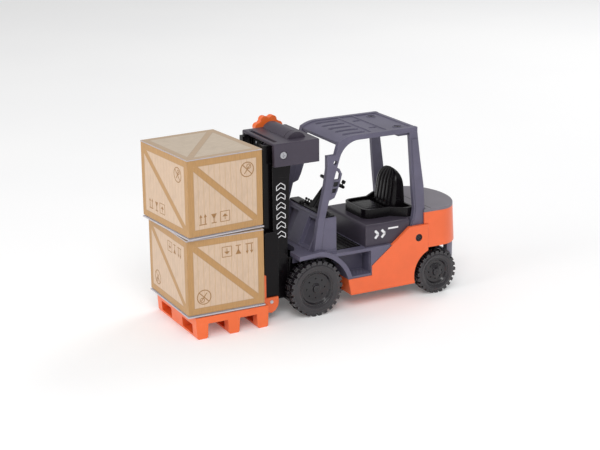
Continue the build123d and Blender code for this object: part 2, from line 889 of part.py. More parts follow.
lever_length = 2.4
with BuildPart() as control_levers:
    lever_lean = Vector(-0.35, 0, 1).normalized()
    for lever in range(3):
        foot = Vector(front(-18.6), -6.5 - 4.2 * lever, dash_top)
        with BuildSketch(Plane(origin=foot)):
            Circle(1.3)
        extrude(amount=0.9)
        stem_foot = foot + Vector(0, 0, 0.5)
        with BuildSketch(Plane(origin=stem_foot, z_dir=lever_lean)):
            Circle(0.55)
        extrude(amount=lever_length)
        with Locations(stem_foot + lever_lean * lever_length):
            Sphere(1.15)
control_levers.part.label = "control_levers"
export_step(control_levers.part, "parts/control_levers.step")

steer_plane = Plane(
    origin=(column_foot_x, 0, dash_top),
    x_dir=(math.cos(math.radians(column_tilt)), 0, math.sin(math.radians(column_tilt))),
    z_dir=steer_axis,
)
shaft_radius = 1.3
column_end = 1.4                # column stops this far under the hub
with BuildPart() as steering_column:
    with BuildSketch(Plane.XY.offset(dash_top)):
        with Locations((column_foot_x + 4.0, 0)):
            RectangleRounded(10.4, 9.4, 1.8)
    with BuildSketch(steer_plane.offset(column_length - column_end - 2)):
        with Locations((0.8, 0)):
            RectangleRounded(8.4, 6.6, 2)
    loft()
    with BuildSketch(steer_plane.offset(column_length - column_end - 2)):
        Circle(2.4)
    extrude(amount=2)
    with BuildSketch(steer_plane.offset(column_length - column_end - 9)):
        Circle(shaft_radius + running_gap)
    extrude(amount=12, mode=Mode.SUBTRACT)
steering_column.part.label = "steering_column"
export_step(steering_column.part, "parts/steering_column.step")

rim_radius = 10.4
rim_section = 1.45
wheel_plane = steer_plane.offset(column_length)
with BuildPart() as steering_wheel:
    with BuildSketch(Plane(origin=wheel_plane.origin, x_dir=wheel_plane.x_dir, z_dir=(0, -1, 0))):
        with Locations((rim_radius, 0)):
            Circle(rim_section)
    revolve(axis=Axis(wheel_plane.origin, wheel_plane.z_dir))
    with BuildSketch(wheel_plane.offset(-1.1)):
        Circle(2.6)
        with PolarLocations(rim_radius / 2, 3, start_angle=60):
            Rectangle(rim_radius - 0.3, 2.0)
    extrude(amount=1.8)
    with BuildSketch(wheel_plane.offset(-1.1)):
        Circle(shaft_radius)
    extrude(amount=-7)
steering_wheel.part.label = "steering_wheel"
export_step(steering_wheel.part, "parts/steering_wheel.step")

with BuildPart() as spinner_knob:
    with BuildSketch(wheel_plane.offset(rim_section)):
        with Locations((-rim_radius, 0)):
            Circle(0.7)
    extrude(amount=1.2)
    with BuildSketch(wheel_plane.offset(rim_section + 1.2)):
        with Locations((-rim_radius, 0)):
            Circle(1.7)
    extrude(amount=3)
    fillet(spinner_knob.edges().filter_by(GeomType.CIRCLE).group_by(SortBy.RADIUS)[-1], 0.5)
spinner_knob.part.label = "spinner_knob"
export_step(spinner_knob.part, "parts/spinner_knob.step")

# ================================================================ seat
tray_front = rear(61)
tray_height = 8.2
tray_half_width = 20.0
wing_half_width = pillar_inner - 0.9
tray_wall = 1.8
tray_floor = 2.4


def tray_plan(inset):
    """Plan of the seat tray: rounded nose, widening to wings beside the pillars."""
    with BuildSketch(mode=Mode.PRIVATE) as shape:
        Polygon(
            (tray_front - inset, tray_half_width - inset),
            (rear(37), tray_half_width - inset),
            (rear(25), wing_half_width - inset),
            (tray_back + inset, wing_half_width - inset),
            (tray_back + inset, -wing_half_width + inset),
            (rear(25), -wing_half_width + inset),
            (rear(37), -tray_half_width + inset),
            (tray_front - inset, -tray_half_width + inset),
            align=None,
        )
        fillet(shape.vertices().group_by(Axis.X)[-1], 8 - inset)
    return shape.sketch


with BuildPart() as seat_tray:
    with BuildSketch(Plane.XY.offset(cover_top)):
        add(tray_plan(0))
    extrude(amount=tray_height)
    with BuildSketch(Plane.XY.offset(cover_top + tray_floor)):
        add(tray_plan(tray_wall))
    extrude(amount=tray_height, mode=Mode.SUBTRACT)
seat_tray.part.label = "seat_tray"
export_step(seat_tray.part, "parts/seat_tray.step")

cushion_bottom = cover_top + tray_floor
with BuildPart() as seat_cushion:
    with BuildSketch(Plane.XY.offset(cushion_bottom)):
        with Locations((rear(47.4), 0)):
            RectangleRounded(23, 2 * (tray_half_width - tray_wall - 0.6), 5)
    extrude(amount=5)
    fillet(seat_cushion.faces().sort_by(Axis.Z)[-1].edges(), 1.5)
seat_cushion.part.label = "seat_cushion"
export_step(seat_cushion.part, "parts/seat_cushion.step")

back_half_width = 17.0
back_top = 108.6
rib_count = 6
with BuildPart() as seat_back:
    with BuildSketch(Plane.YZ.offset(rear(10))):
        with Locations((0, cushion_bottom)):
            Rectangle(
                2 * back_half_width,
                back_top - back_half_width - cushion_bottom,
                align=(Align.CENTER, Align.MIN),
            )
        with Locations((0, back_top - back_half_width)):
            Circle(back_half_width)
    extrude(amount=40)
    with BuildSketch(Plane.XZ.offset(-30)):
        outline(
            (rear(19.6), cushion_bottom),
            (rear(35.2), cushion_bottom),
            (rear(34.2), 82),
            (rear(30), back_top),
            (rear(27.5), back_top + 1),
            (rear(19.4), 101),
        )
    extrude(amount=60, mode=Mode.INTERSECT)
    # upright channels in the front of the back
    for rib in range(rib_count):
        rib_y = (rib - (rib_count - 1) / 2) * 5.2
        with BuildSketch(Plane.XZ.offset(-rib_y - 0.5)):
            outline(
                (rear(36), 84),
                (rear(32.6), 84),
                (rear(28.9), back_top),
                (rear(36), back_top),
            )
        extrude(amount=1.0, mode=Mode.SUBTRACT)
seat_back.part.label = "seat_back"
export_step(seat_back.part, "parts/seat_back.step")

# ================================================================ mast
mast_bottom = 16.0
head_bottom = 131.0
head_top = 150.2
head_half_width = 30.0
head_back = front(-8.5)
head_front = front(33.5)
plate_outer = 26.0              # outer face of the mast side plates
plate_web = 24.5
rail_outer = 22.0
rail_inner = 16.0
rail_back = front(27.5)
rail_front = front(39.5)
rail_wall = 1.6
mast_back = front(19.5)
head_roof = head_top - wall
mast_top = head_roof - seam
head_screw = (front(24.7), 139.9)

for side, hand in sides:
    with BuildPart() as mast_side:
        # inner web, up into the head housing
        with BuildSketch(across(side, plate_web, plate_web - rail_outer)):
            outline(
                (mast_back, mast_bottom),
                (head_front - wall - seam, mast_bottom),
                (head_front - wall - seam, mast_top),
                (mast_back, mast_top),
            )
        extrude(amount=plate_web - rail_outer)
        # outer plate, cut back over the front wheel
        with BuildSketch(across(side, plate_outer, plate_outer - plate_web)):
            with BuildLine():
                lower_front = Polyline(
                    (front(16.5), head_bottom),
                    (head_front, head_bottom),
                    (head_front, mast_bottom),
                    (front(30), mast_bottom),
                    (front(30), 44),
                )
                cut = ThreePointArc(lower_front @ 1, (front(27.6), 49.7), (front(21.4), 56.2))
                Polyline(
                    cut @ 1,
                    (front(20.4), 64),
                    (front(18.5), 96),
                    (front(18.3), 117),
                    lower_front @ 0,
                )
            make_face()
        extrude(amount=plate_outer - plate_web)
        with BuildSketch(across(side, plate_outer, plate_outer - rail_outer)):
            with Locations(head_screw):
                Circle(screw_shank)
        extrude(amount=plate_outer - rail_outer, mode=Mode.SUBTRACT)
    mast_side.part.label = f"mast_side_{hand}"
    export_step(mast_side.part, f"parts/mast_side_{hand}.step")

    with BuildPart() as mast_rail:
        with BuildSketch(Plane.XY.offset(mast_bottom)):
            middle_y = side * (rail_inner + rail_outer) / 2
            with Locations(((rail_back + rail_front) / 2, middle_y)):
                Rectangle(rail_front - rail_back, rail_outer - rail_inner)
            with Locations(((rail_back + rail_front) / 2, middle_y - side * rail_wall)):
                Rectangle(
                    rail_front - rail_back - 2 * rail_wall,
                    rail_outer - rail_inner,
                    mode=Mode.SUBTRACT,
                )
        extrude(amount=mast_top - mast_bottom)
    mast_rail.part.label = f"mast_rail_{hand}"
    export_step(mast_rail.part, f"parts/mast_rail_{hand}.step")

# cross members: the lower one bolts to the chassis, the middle one ties the side plates
cross_front = rail_back - 1
with BuildPart() as mast_cross:
    with BuildSketch(Plane.XZ.offset(-rail_outer)):
        outline(
            (chassis_front, mast_bottom),
            (cross_front, mast_bottom),
            (cross_front, mast_bottom + 5),
            (mast_back, mast_bottom + 9),
            (mast_back, 46),
            (chassis_front, 46),
        )
    extrude(amount=2 * rail_outer)
    for beam_z in (84, 118):
        with Locations((mast_back + 0.5, 0, beam_z)):
            Box(3.2, 2 * rail_outer, 8, align=(Align.MIN, Align.CENTER, Align.MIN))
mast_cross.part.label = "mast_cross_members"
export_step(mast_cross.part, "parts/mast_cross_members.step")

# ================================================================ mast head and winding gear
drum_x = front(7.5)
drum_z = 146.0
drum_radius = 6.0
flange_radius = 7.4
drum_half_length = 14.0
cover_radius = 9.4
cover_wall = 1.4
knob_radius = 13.6
shaft_end = head_half_width - 1.6       # blind end of the drum shaft, on the left
knob_thickness = 6.6
knob_inner = head_half_width + 0.9
pulley_radius = 3.4
cord_radius = 0.6
cord_x = front(32)
pulley_x = cord_x - pulley_radius - cord_radius
pulley_z = 141.6
pulley_half_length = 2.0
pulley_pin_radius = 1.0
hanger_inner = pulley_half_length + part_gap
hanger_outer = hanger_inner + 1.6
screw_boss_radius = 4.2

with BuildPart() as mast_head:
    with BuildSketch(Plane.XY.offset(head_bottom)):
        with Locations(((head_back + head_front) / 2, 0)):
            RectangleRounded(head_front - head_back, 2 * head_half_width, 1.6)
    extrude(amount=head_top - head_bottom)
    # softened upper edges
    fillet(mast_head.edges().group_by(Axis.Z)[-1], 1.0)
    with BuildSketch(Plane.XY.offset(head_bottom)):
        with Locations(((head_back + head_front) / 2, 0)):
            Rectangle(head_front - head_back - 2 * wall, 2 * (head_half_width - wall))
    extrude(amount=head_roof - head_bottom, mode=Mode.SUBTRACT)
    # the mast rails pass through the open front, under the top bar
    with Locations((head_front - wall - 1, 0, head_bottom)):
        Box(
            wall + 4,
            2 * (plate_outer + seam),
            head_roof - head_bottom,
            align=(Align.MIN, Align.CENTER, Align.MIN),
            mode=Mode.SUBTRACT,
        )
    # slot behind the top bar
    with Locations((head_front - 3.2, 0, head_roof)):
        Box(
            3.6,
            2 * (rail_outer + 1),
            3 * wall,
            align=(Align.MAX, Align.CENTER, Align.CENTER),
            mode=Mode.SUBTRACT,
        )
    # window over the drum
    with Locations((drum_x, 0, head_roof)):
        Box(2 * flange_radius, 2 * (drum_half_length + 2), 3 * wall, mode=Mode.SUBTRACT)
    # two hangers for the guide pulley
    for side, hand in sides:
        with BuildSketch(across(side, hanger_outer, hanger_outer - hanger_inner)):
            outline(
                (pulley_x - 9, head_roof),
                (pulley_x - 2.6, head_roof),
                (pulley_x + 2, pulley_z + 3),
                (pulley_x + 2, pulley_z - 2),
                (pulley_x - 2.5, pulley_z - 2),
            )
            with Locations((pulley_x, pulley_z)):
                Circle(pulley_pin_radius, mode=Mode.SUBTRACT)
        extrude(amount=hanger_outer - hanger_inner)
    for side, hand in sides:
        # dished screw boss, standing off to the mast plate
        boss_depth = head_half_width - plate_web - seam
        with BuildSketch(across(side, head_half_width, boss_depth)):
            with Locations(head_screw):
                Circle(screw_boss_radius)
        extrude(amount=boss_depth)
        with BuildSketch(across(side, head_half_width, 1.8)):
            with Locations(head_screw):
                Circle(screw_boss_radius - 0.9)
        extrude(amount=1.8, mode=Mode.SUBTRACT)
        with BuildSketch(across(side, head_half_width, boss_depth)):
            with Locations(head_screw):
                Circle(screw_shank + running_gap)
        extrude(amount=boss_depth, mode=Mode.SUBTRACT)
        # shaft bearings
        with BuildSketch(across(side, head_half_width, 3.6)):
            with Locations((drum_x, drum_z)):
                Circle(4)
        extrude(amount=3.6)
        # the bore goes right through on the knob's side and stops in the wall on the other
        bore_outer = shaft_end + 0.2 if side > 0 else head_half_width + 1
        bore_depth = bore_outer - head_half_width + 5
        with BuildSketch(across(side, bore_outer, bore_depth)):
            with Locations((drum_x, drum_z)):
                Circle(axle_radius + running_gap)
        extrude(amount=bore_depth, mode=Mode.SUBTRACT)
mast_head.part.label = "mast_head"
export_step(mast_head.part, "parts/mast_head.step")

with BuildPart() as head_screws:
    for side, hand in sides:
        seat_face = head_half_width - 1.8
        head_depth = 1.2
        shank_length = seat_face - rail_outer
        with BuildSketch(across(side, seat_face + head_depth, head_depth)):
            with Locations(head_screw):
                Circle(screw_boss_radius - 1.3)
        extrude(amount=head_depth)
        with BuildSketch(across(side, seat_face, shank_length)):
            with Locations(head_screw):
                Circle(screw_shank)
        extrude(amount=shank_length)
        with BuildSketch(across(side, seat_face + head_depth, 0.7)):
            with Locations(head_screw):
                Rectangle(3.2, 0.8)
                Rectangle(0.8, 3.2)
        extrude(amount=0.7, mode=Mode.SUBTRACT)
head_screws.part.label = "head_screws"
export_step(head_screws.part, "parts/head_screws.step")

# half-round cover over the drum, with a separate ring cap at its left end
cover_right = -(head_half_width - 3)
cover_left = 12.0
ring_left = 19.0
with BuildPart() as drum_cover:
    with BuildSketch(Plane.XZ.offset(-cover_left)):
        with Locations((drum_x, drum_z)):
            Circle(cover_radius)
    extrude(amount=cover_left - cover_right)
    with BuildSketch(Plane.XZ.offset(-ring_left)):
        with Locations((drum_x, drum_z)):
            Circle(cover_radius)
    extrude(amount=ring_left - cover_left - 1)
    with BuildSketch(Plane.XZ.offset(-ring_left)):
        with Locations((drum_x, drum_z)):
            Circle(cover_radius - 1.0)
    extrude(amount=ring_left - cover_left)
    chamfer(drum_cover.faces().sort_by(Axis.Y)[0].edges(), 0.8)
    with BuildSketch(Plane.XZ.offset(-(drum_half_length + 1.2))):
        with Locations((drum_x, drum_z)):
            Circle(cover_radius - cover_wall)
    extrude(amount=2 * (drum_half_length + 1.2), mode=Mode.SUBTRACT)
    with Locations((drum_x, 0, head_top)):
        Box(
            4 * cover_radius,
            4 * head_half_width,
            4 * cover_radius,
            align=(Align.CENTER, Align.CENTER, Align.MAX),
            mode=Mode.SUBTRACT,
        )
drum_cover.part.label = "drum_cover"
export_step(drum_cover.part, "parts/drum_cover.step")

with BuildPart() as lift_drum:
    with BuildSketch(Plane.XZ.offset(-drum_half_length)):
        with Locations((drum_x, drum_z)):
            Circle(drum_radius)
    extrude(amount=2 * drum_half_length)
    for flange_y in (drum_half_length, -drum_half_length + 1.4):
        with BuildSketch(Plane.XZ.offset(-flange_y)):
            with Locations((drum_x, drum_z)):
                Circle(flange_radius)
        extrude(amount=1.4)
    with BuildSketch(Plane.XZ.offset(-drum_half_length)):
        with Locations((drum_x, drum_z)):
            Circle(axle_radius + push_gap)
    extrude(amount=2 * drum_half_length, mode=Mode.SUBTRACT)
lift_drum.part.label = "lift_drum"
export_step(lift_drum.part, "parts/lift_drum.step")

with BuildPart() as drum_shaft:
    with BuildSketch(Plane.XZ.offset(-shaft_end)):
        with Locations((drum_x, drum_z)):
            Circle(axle_radius)
    extrude(amount=shaft_end + knob_inner + knob_thickness - 1.5)
drum_shaft.part.label = "drum_shaft"
export_step(drum_shaft.part, "parts/drum_shaft.step")

# scalloped winding knob on the right end of the shaft
lobe_count = 8
lobe_radius = 3.6
with BuildPart() as winding_knob:
    with BuildSketch(Plane.XZ.offset(knob_inner)):
        with Locations((drum_x, drum_z)):
            Circle(knob_radius - 2.0)
            with PolarLocations(knob_radius - lobe_radius, lobe_count, start_angle=22.5):
                Circle(lobe_radius)
    extrude(amount=knob_thickness)
    fillet(winding_knob.faces().sort_by(Axis.Y)[0].edges(), 1.0)
    with BuildSketch(Plane.XZ.offset(knob_inner)):
        with Locations((drum_x, drum_z)):
            Circle(axle_radius + push_gap)
    extrude(amount=knob_thickness - 1.5, mode=Mode.SUBTRACT)
    # finger dish in the outer face
    with BuildSketch(Plane.XZ.offset(knob_inner + knob_thickness)):
        with Locations((drum_x, drum_z)):
            Circle(6.4)
            Circle(3.2, mode=Mode.SUBTRACT)
    extrude(amount=-1.0, mode=Mode.SUBTRACT)
winding_knob.part.label = "winding_knob"
export_step(winding_knob.part, "parts/winding_knob.step")

with BuildPart() as guide_pulley:
    with BuildSketch(Plane.XZ.offset(-pulley_half_length)):
        with Locations((pulley_x, pulley_z)):
            Circle(pulley_radius + 1.4)
    extrude(amount=2 * pulley_half_length)
    with BuildSketch(Plane.XZ.offset(-(cord_radius + 0.2))):
        with Locations((pulley_x, pulley_z)):
            Circle(pulley_radius + 3)
            Circle(pulley_radius - 0.05, mode=Mode.SUBTRACT)
    extrude(amount=2 * (cord_radius + 0.2), mode=Mode.SUBTRACT)
    with BuildSketch(Plane.XZ.offset(-pulley_half_length)):
        with Locations((pulley_x, pulley_z)):
            Circle(pulley_pin_radius + running_gap)
    extrude(amount=2 * pulley_half_length, mode=Mode.SUBTRACT)
guide_pulley.part.label = "guide_pulley"
export_step(guide_pulley.part, "parts/guide_pulley.step")

with BuildPart() as pulley_pin:
    with BuildSketch(Plane.XZ.offset(-hanger_outer)):
        with Locations((pulley_x, pulley_z)):
            Circle(pulley_pin_radius)
    extrude(amount=2 * hanger_outer)
pulley_pin.part.label = "pulley_pin"
export_step(pulley_pin.part, "parts/pulley_pin.step")

# ================================================================ load carriage
carriage_bottom = 22.0
carriage_top = 76.0
arm_inner = plate_outer + part_gap
arm_outer = arm_inner + 2.0
arm_back = front(30)
panel_back = rail_front + part_gap
panel_front = panel_back + 2.6
beam_half_width = rail_inner - part_gap
shoe_gap = 0.25
pin_x = front(38)
pin_z = 16.6
pin_radius = 1.5
beam_levels = (24.0, 60.0)
beam_height = 10.0

with BuildPart() as carriage:
    with BuildSketch(Plane.YZ.offset(panel_back)):
        with Locations((0, (carriage_bottom + carriage_top) / 2)):
            RectangleRounded(2 * arm_outer, carriage_top - carriage_bottom, 2)
            Rectangle(28, 22, mode=Mode.SUBTRACT)
    extrude(amount=panel_front - panel_back)
    for side, hand in sides:
        # arm that wraps the outside of the mast
        with BuildSketch(across(side, arm_outer, arm_outer - arm_inner)):
            outline(
                (arm_back, pin_z + 4),
                (pin_x - 4, pin_z - 3.4),
                (pin_x + 3, pin_z - 3.4),
                (panel_front, pin_z + 4),
                (panel_front, carriage_top - 2),
                (panel_front - 2, carriage_top),
                (arm_back + 3, carriage_top),
                (arm_back, carriage_top - 3),
            )
            with Locations((pin_x, pin_z)):
                Circle(pin_radius, mode=Mode.SUBTRACT)
        extrude(amount=arm_outer - arm_inner)
        for level in beam_levels:
            # guide shoe inside the rail
            with Locations((rail_back + rail_wall + shoe_gap, side * beam_half_width, level)):
                Box(
                    rail_front - rail_back - 2 * (rail_wall + shoe_gap),
                    rail_outer - rail_wall - shoe_gap - beam_half_width,
                    beam_height,
                    align=(Align.MIN, Align.MIN if side > 0 else Align.MAX, Align.MIN),
                )
    for level in beam_levels:
        with Locations((rail_back + 1, 0, level)):
            Box(
                panel_back - rail_back - 1,
                2 * beam_half_width,
                beam_height,
                align=(Align.MIN, Align.CENTER, Align.MIN),
            )
carriage.part.label = "carriage"
export_step(carriage.part, "parts/carriage.step")

# lift cord: wound on the drum, over the pulley and down to the upper carriage beam
cord_bottom = beam_levels[1] + beam_height
winding_radius = drum_radius + 2 * cord_radius
run_radius = drum_radius + cord_radius
turn_radius = pulley_radius + cord_radius
centre_angle = math.atan2(pulley_z - drum_z, pulley_x - drum_x)
centre_distance = math.hypot(pulley_x - drum_x, pulley_z - drum_z)
run_angle = centre_angle + math.asin((run_radius + turn_radius) / centre_distance)
run_start = (
    drum_x + run_radius * math.sin(run_angle),
    0,
    drum_z - run_radius * math.cos(run_angle),
)
run_end = (
    pulley_x - turn_radius * math.sin(run_angle),
    0,
    pulley_z + turn_radius * math.cos(run_angle),
)
turn_middle = math.radians(45)
with BuildPart() as cord_winding:
    with BuildSketch(Plane.XZ.offset(-3)):
        with Locations((drum_x, drum_z)):
            Circle(winding_radius)
            Circle(drum_radius + push_gap, mode=Mode.SUBTRACT)
    extrude(amount=6)
cord_winding.part.label = "cord_winding"
export_step(cord_winding.part, "parts/cord_winding.step")

with BuildPart() as lift_cord_run:
    with BuildLine():
        straight = Line(run_start, run_end)
        ThreePointArc(
            straight @ 1,
            (
                pulley_x + turn_radius * math.cos(turn_middle),
                0,
                pulley_z + turn_radius * math.sin(turn_middle),
            ),
            (cord_x, 0, pulley_z),
        )
    with BuildSketch(Plane(origin=straight @ 0, z_dir=straight % 0)):
        Circle(cord_radius)
    sweep()
    # the tube starts clear of the winding
    with BuildSketch(Plane.XZ.offset(-4)):
        with Locations((drum_x, drum_z)):
            Circle(winding_radius + 0.05)
    extrude(amount=8, mode=Mode.SUBTRACT)
lift_cord_run.part.label = "lift_cord_run"
export_step(lift_cord_run.part, "parts/lift_cord_run.step")

with BuildPart() as lift_cord_drop:
    with Locations((cord_x, 0, cord_bottom)):
        Cylinder(
            cord_radius,
            pulley_z - cord_bottom,
            align=(Align.CENTER, Align.CENTER, Align.MIN),
        )
lift_cord_drop.part.label = "lift_cord_drop"
export_step(lift_cord_drop.part, "parts/lift_cord_drop.step")

# ================================================================ forks
fork_outer = 29.6
fork_width = 11.0
tine_bottom = 6.8
tine_top = 10.8
tine_tip = front(107)
shank_front = panel_front + 2.2
cheek_inner = arm_outer + 0.1
cheek_outer = cheek_inner + 1.8
for side, hand in sides:
    with BuildPart() as fork:
        # upright shank and tine, tapered to the tip
        with BuildSketch(across(side, fork_outer, fork_width)):
            outline(
                (panel_front, tine_bottom + 3),
                (panel_front + 1, tine_bottom),
                (tine_tip - 2, tine_top - 1.6),
                (tine_tip, tine_top),
                (shank_front + 0.8, tine_top),
                (shank_front, tine_top + 1),
                (shank_front, 40),
                (panel_front, 40),
            )
        extrude(amount=fork_width)
        # heel cheek, pinned to the outside of the carriage arm
        with BuildSketch(across(side, cheek_outer, cheek_outer - cheek_inner)):
            outline(
                (front(31.5), 20.2),
                (shank_front, 20.2),
                (shank_front, tine_bottom + 2),
                (front(38), tine_bottom),
                (front(34.6), 8.6),
                (front(32), 12.2),
                (front(31.2), 15.4),
            )
            with Locations((pin_x, pin_z)):
                Circle(pin_radius, mode=Mode.SUBTRACT)
        extrude(amount=cheek_outer - cheek_inner)
    fork.part.label = f"fork_{hand}"
    export_step(fork.part, f"parts/fork_{hand}.step")

with BuildPart() as fork_pins:
    for side, hand in sides:
        pin_length = cheek_outer + 0.5 - arm_inner
        with BuildSketch(across(side, cheek_outer + 0.5, pin_length)):
            with Locations((pin_x, pin_z)):
                Circle(pin_radius)
        extrude(amount=pin_length)
fork_pins.part.label = "fork_pins"
export_step(fork_pins.part, "parts/fork_pins.step")

# ================================================================ pallet
pallet_back = front(45.9)
pallet_length = 65.2
pallet_half_width = 40.6
deck_underside = 12.4
board_bottom = 16.0
deck_top = 18.4
board_count = 6
board_gap = 3.4
board_width = (2 * pallet_half_width - (board_count - 1) * board_gap) / board_count
runner_top = 10.6
runner_foot = 9.2
runner_stations = (pallet_back + 5.5, pallet_back + 31.5, pallet_back + pallet_length - 5.5)
window_inner = fork_outer - fork_width - 7.5
window_outer = fork_outer + 2.4
window_top = tine_top + 0.2
window_bottom = 2.6

with BuildPart() as pallet:
    for runner_x in runner_stations:
        with BuildSketch(Plane.XZ.offset(-pallet_half_width)):
            outline(
                (runner_x - runner_top / 2, board_bottom),
                (runner_x - runner_top / 2, deck_underside),
                (runner_x - runner_foot / 2, 1.2),
                (runner_x - runner_foot / 2 + 1, 0),
                (runner_x + runner_foot / 2 - 1, 0),
                (runner_x + runner_foot / 2, 1.2),
                (runner_x + runner_top / 2, deck_underside),
                (runner_x + runner_top / 2, board_bottom),
            )
        extrude(amount=2 * pallet_half_width)
    # top boards along the truck
    with BuildSketch(Plane.XY.offset(board_bottom)):
        with Locations((pallet_back + pallet_length / 2, 0)):
            with GridLocations(1, board_width + board_gap, 1, board_count):
                RectangleRounded(pallet_length, board_width, 0.8)
    extrude(amount=deck_top - board_bottom)
    # edge beams between the runners
    for side, hand in sides:
        with Locations((pallet_back + 1, side * pallet_half_width, deck_underside)):
            Box(
                pallet_length - 2,
                4.4,
                board_bottom - deck_underside,
                align=(Align.MIN, Align.MAX if side > 0 else Align.MIN, Align.MIN),
            )
        # fork windows
        with Locations((pallet_back - 1, side * (window_inner + window_outer) / 2, window_bottom)):
            Box(
                pallet_length + 2,
                window_outer - window_inner,
                window_top - window_bottom,
                align=(Align.MIN, Align.CENTER, Align.MIN),
                mode=Mode.SUBTRACT,
            )
pallet.part.label = "pallet"
export_step(pallet.part, "parts/pallet.step")

# ================================================================ crates
foot_inset = 2.0
foot_height = 0.9
flange_height = 1.0
neck_inset = 1.2
neck_height = 1.0
sleeve_wall = 1.6
card_gap = 0.1
plug_wall = 2.0
plug_height = 3.0
lid_height = 0.9
crate_height = foot_height + flange_height + neck_height + crate_wall_height + lid_height

for crate, crate_x, base_z, turn in (
    ("lower", load_x, deck_top, lower_crate_turn),
    ("upper", load_x + upper_crate_shift, deck_top + crate_height, upper_crate_turn),
):
    crate_plane = Plane(origin=(crate_x, 0, base_z)).rotated((0, 0, turn))
    flange_z = foot_height
    neck_z = flange_z + flange_height
    sleeve_z = neck_z + neck_height
    lid_z = sleeve_z + crate_wall_height
    with BuildPart() as crate_base:
        with BuildSketch(crate_plane):
            Rectangle(crate_length - 2 * foot_inset, crate_width - 2 * foot_inset)
        extrude(amount=foot_height)
        with BuildSketch(crate_plane.offset(flange_z)):
            Rectangle(crate_length + 2 * flange_overhang, crate_width + 2 * flange_overhang)
        extrude(amount=flange_height)
        with BuildSketch(crate_plane.offset(neck_z)):
            Rectangle(crate_length - 2 * neck_inset, crate_width - 2 * neck_inset)
        extrude(amount=neck_height)
        plug_inset = sleeve_wall + card_gap
        with BuildSketch(crate_plane.offset(sleeve_z)):
            Rectangle(crate_length - 2 * plug_inset, crate_width - 2 * plug_inset)
            Rectangle(
                crate_length - 2 * (plug_inset + plug_wall),
                crate_width - 2 * (plug_inset + plug_wall),
                mode=Mode.SUBTRACT,
            )
        extrude(amount=plug_height)
    crate_base.part.label = f"{crate}_crate_base"
    export_step(crate_base.part, f"parts/{crate}_crate_base.step")

    with BuildPart() as crate_sleeve:
        with BuildSketch(crate_plane.offset(sleeve_z)):
            Rectangle(crate_length, crate_width)
            Rectangle(
                crate_length - 2 * sleeve_wall,
                crate_width - 2 * sleeve_wall,
                mode=Mode.SUBTRACT,
            )
        extrude(amount=crate_wall_height)
    crate_sleeve.part.label = f"{crate}_crate_sleeve"
    export_step(crate_sleeve.part, f"parts/{crate}_crate_sleeve.step")

    with BuildPart() as crate_lid:
        with BuildSketch(crate_plane.offset(lid_z)):
            Rectangle(crate_length + 0.4, crate_width + 0.4)
        extrude(amount=lid_height)
        with BuildSketch(crate_plane.offset(lid_z)):
            Rectangle(crate_length - 2 * plug_inset, crate_width - 2 * plug_inset)
            Rectangle(
                crate_length - 2 * (plug_inset + plug_wall),
                crate_width - 2 * (plug_inset + plug_wall),
                mode=Mode.SUBTRACT,
            )
        extrude(amount=-plug_height)
    crate_lid.part.label = f"{crate}_crate_lid"
    export_step(crate_lid.part, f"parts/{crate}_crate_lid.step")

# ================================================================ wheels and axles
hub_dome_radius = 3.6
bolt_count = 8


def make_tyre(side, centre_x, radius, width, rim_radius, lug_count):
    """Tyre solid: bulged side walls and two rows of shoulder lugs."""
    inner_y = side * (wheel_half_width - width)
    outer_y = side * wheel_half_width
    lug_depth = 1.5
    with BuildPart() as tyre:
        with BuildSketch(Plane.XY):
            outline(
                (rim_radius, inner_y),
                (rim_radius, outer_y - side * 1.2),
                (rim_radius + 1.4, outer_y - side * 0.4),
                (radius - 4, outer_y),
                (radius - 1.8, outer_y - side * 0.8),
                (radius - lug_depth, outer_y - side * 2.2),
                (radius - lug_depth, inner_y + side * 2.2),
                (radius - 1.8, inner_y + side * 0.8),
                (radius - 4, inner_y),
            )
        revolve(axis=Axis.Y)
        for row, row_turn in ((outer_y - side * 2.6, 0), (inner_y + side * 2.6, 0.5)):
            with Locations(Location((0, row, 0), (90, 0, 0))):
                with PolarLocations(radius - 1.35, lug_count, start_angle=row_turn * 360 / lug_count):
                    Box(2.7, 0.56 * 2 * math.pi * radius / lug_count, 4.4)
        with BuildSketch(Plane.XZ.offset(-60)):
            Circle(radius)
        extrude(amount=120, mode=Mode.INTERSECT)
    return tyre.part.moved(Location((centre_x, 0, radius)))


def make_rim(side, centre_x, radius, width, rim_radius):
    """Rim solid: dished disc with a bolt circle and a domed hub, bored for the axle."""
    outer_y = side * wheel_half_width
    inner_y = side * (wheel_half_width - width)
    with BuildPart() as rim:
        with BuildSketch(Plane.XY):
            outline(
                (0, inner_y),
                (rim_radius - 1, inner_y),
                (rim_radius - push_gap, inner_y + side * 1),
                (rim_radius - push_gap, outer_y - side * 1.4),
                (rim_radius - 1.2, outer_y - side * 1.4),
                (rim_radius - 2.6, outer_y - side * 3.2),
                (rim_radius - 4.2, outer_y - side * 3.4),
                (hub_dome_radius + 1.2, outer_y - side * 2.6),
                (hub_dome_radius, outer_y - side * 2.2),
                (hub_dome_radius - 0.6, outer_y - side * 0.6),
                (0, outer_y - side * 0.3),
            )
        revolve(axis=Axis.Y)
        with Locations(Location((0, outer_y - side * 3, 0), (90, 0, 0))):
            with PolarLocations((rim_radius + hub_dome_radius) / 2 - 1, bolt_count):
                Cylinder(0.8, 3, mode=Mode.SUBTRACT)
        with BuildSketch(Plane.XZ.offset(-inner_y)):
            Circle(axle_radius + push_gap)
        extrude(amount=-side * (width - 3.4), mode=Mode.SUBTRACT)
    return rim.part.moved(Location((centre_x, 0, radius)))


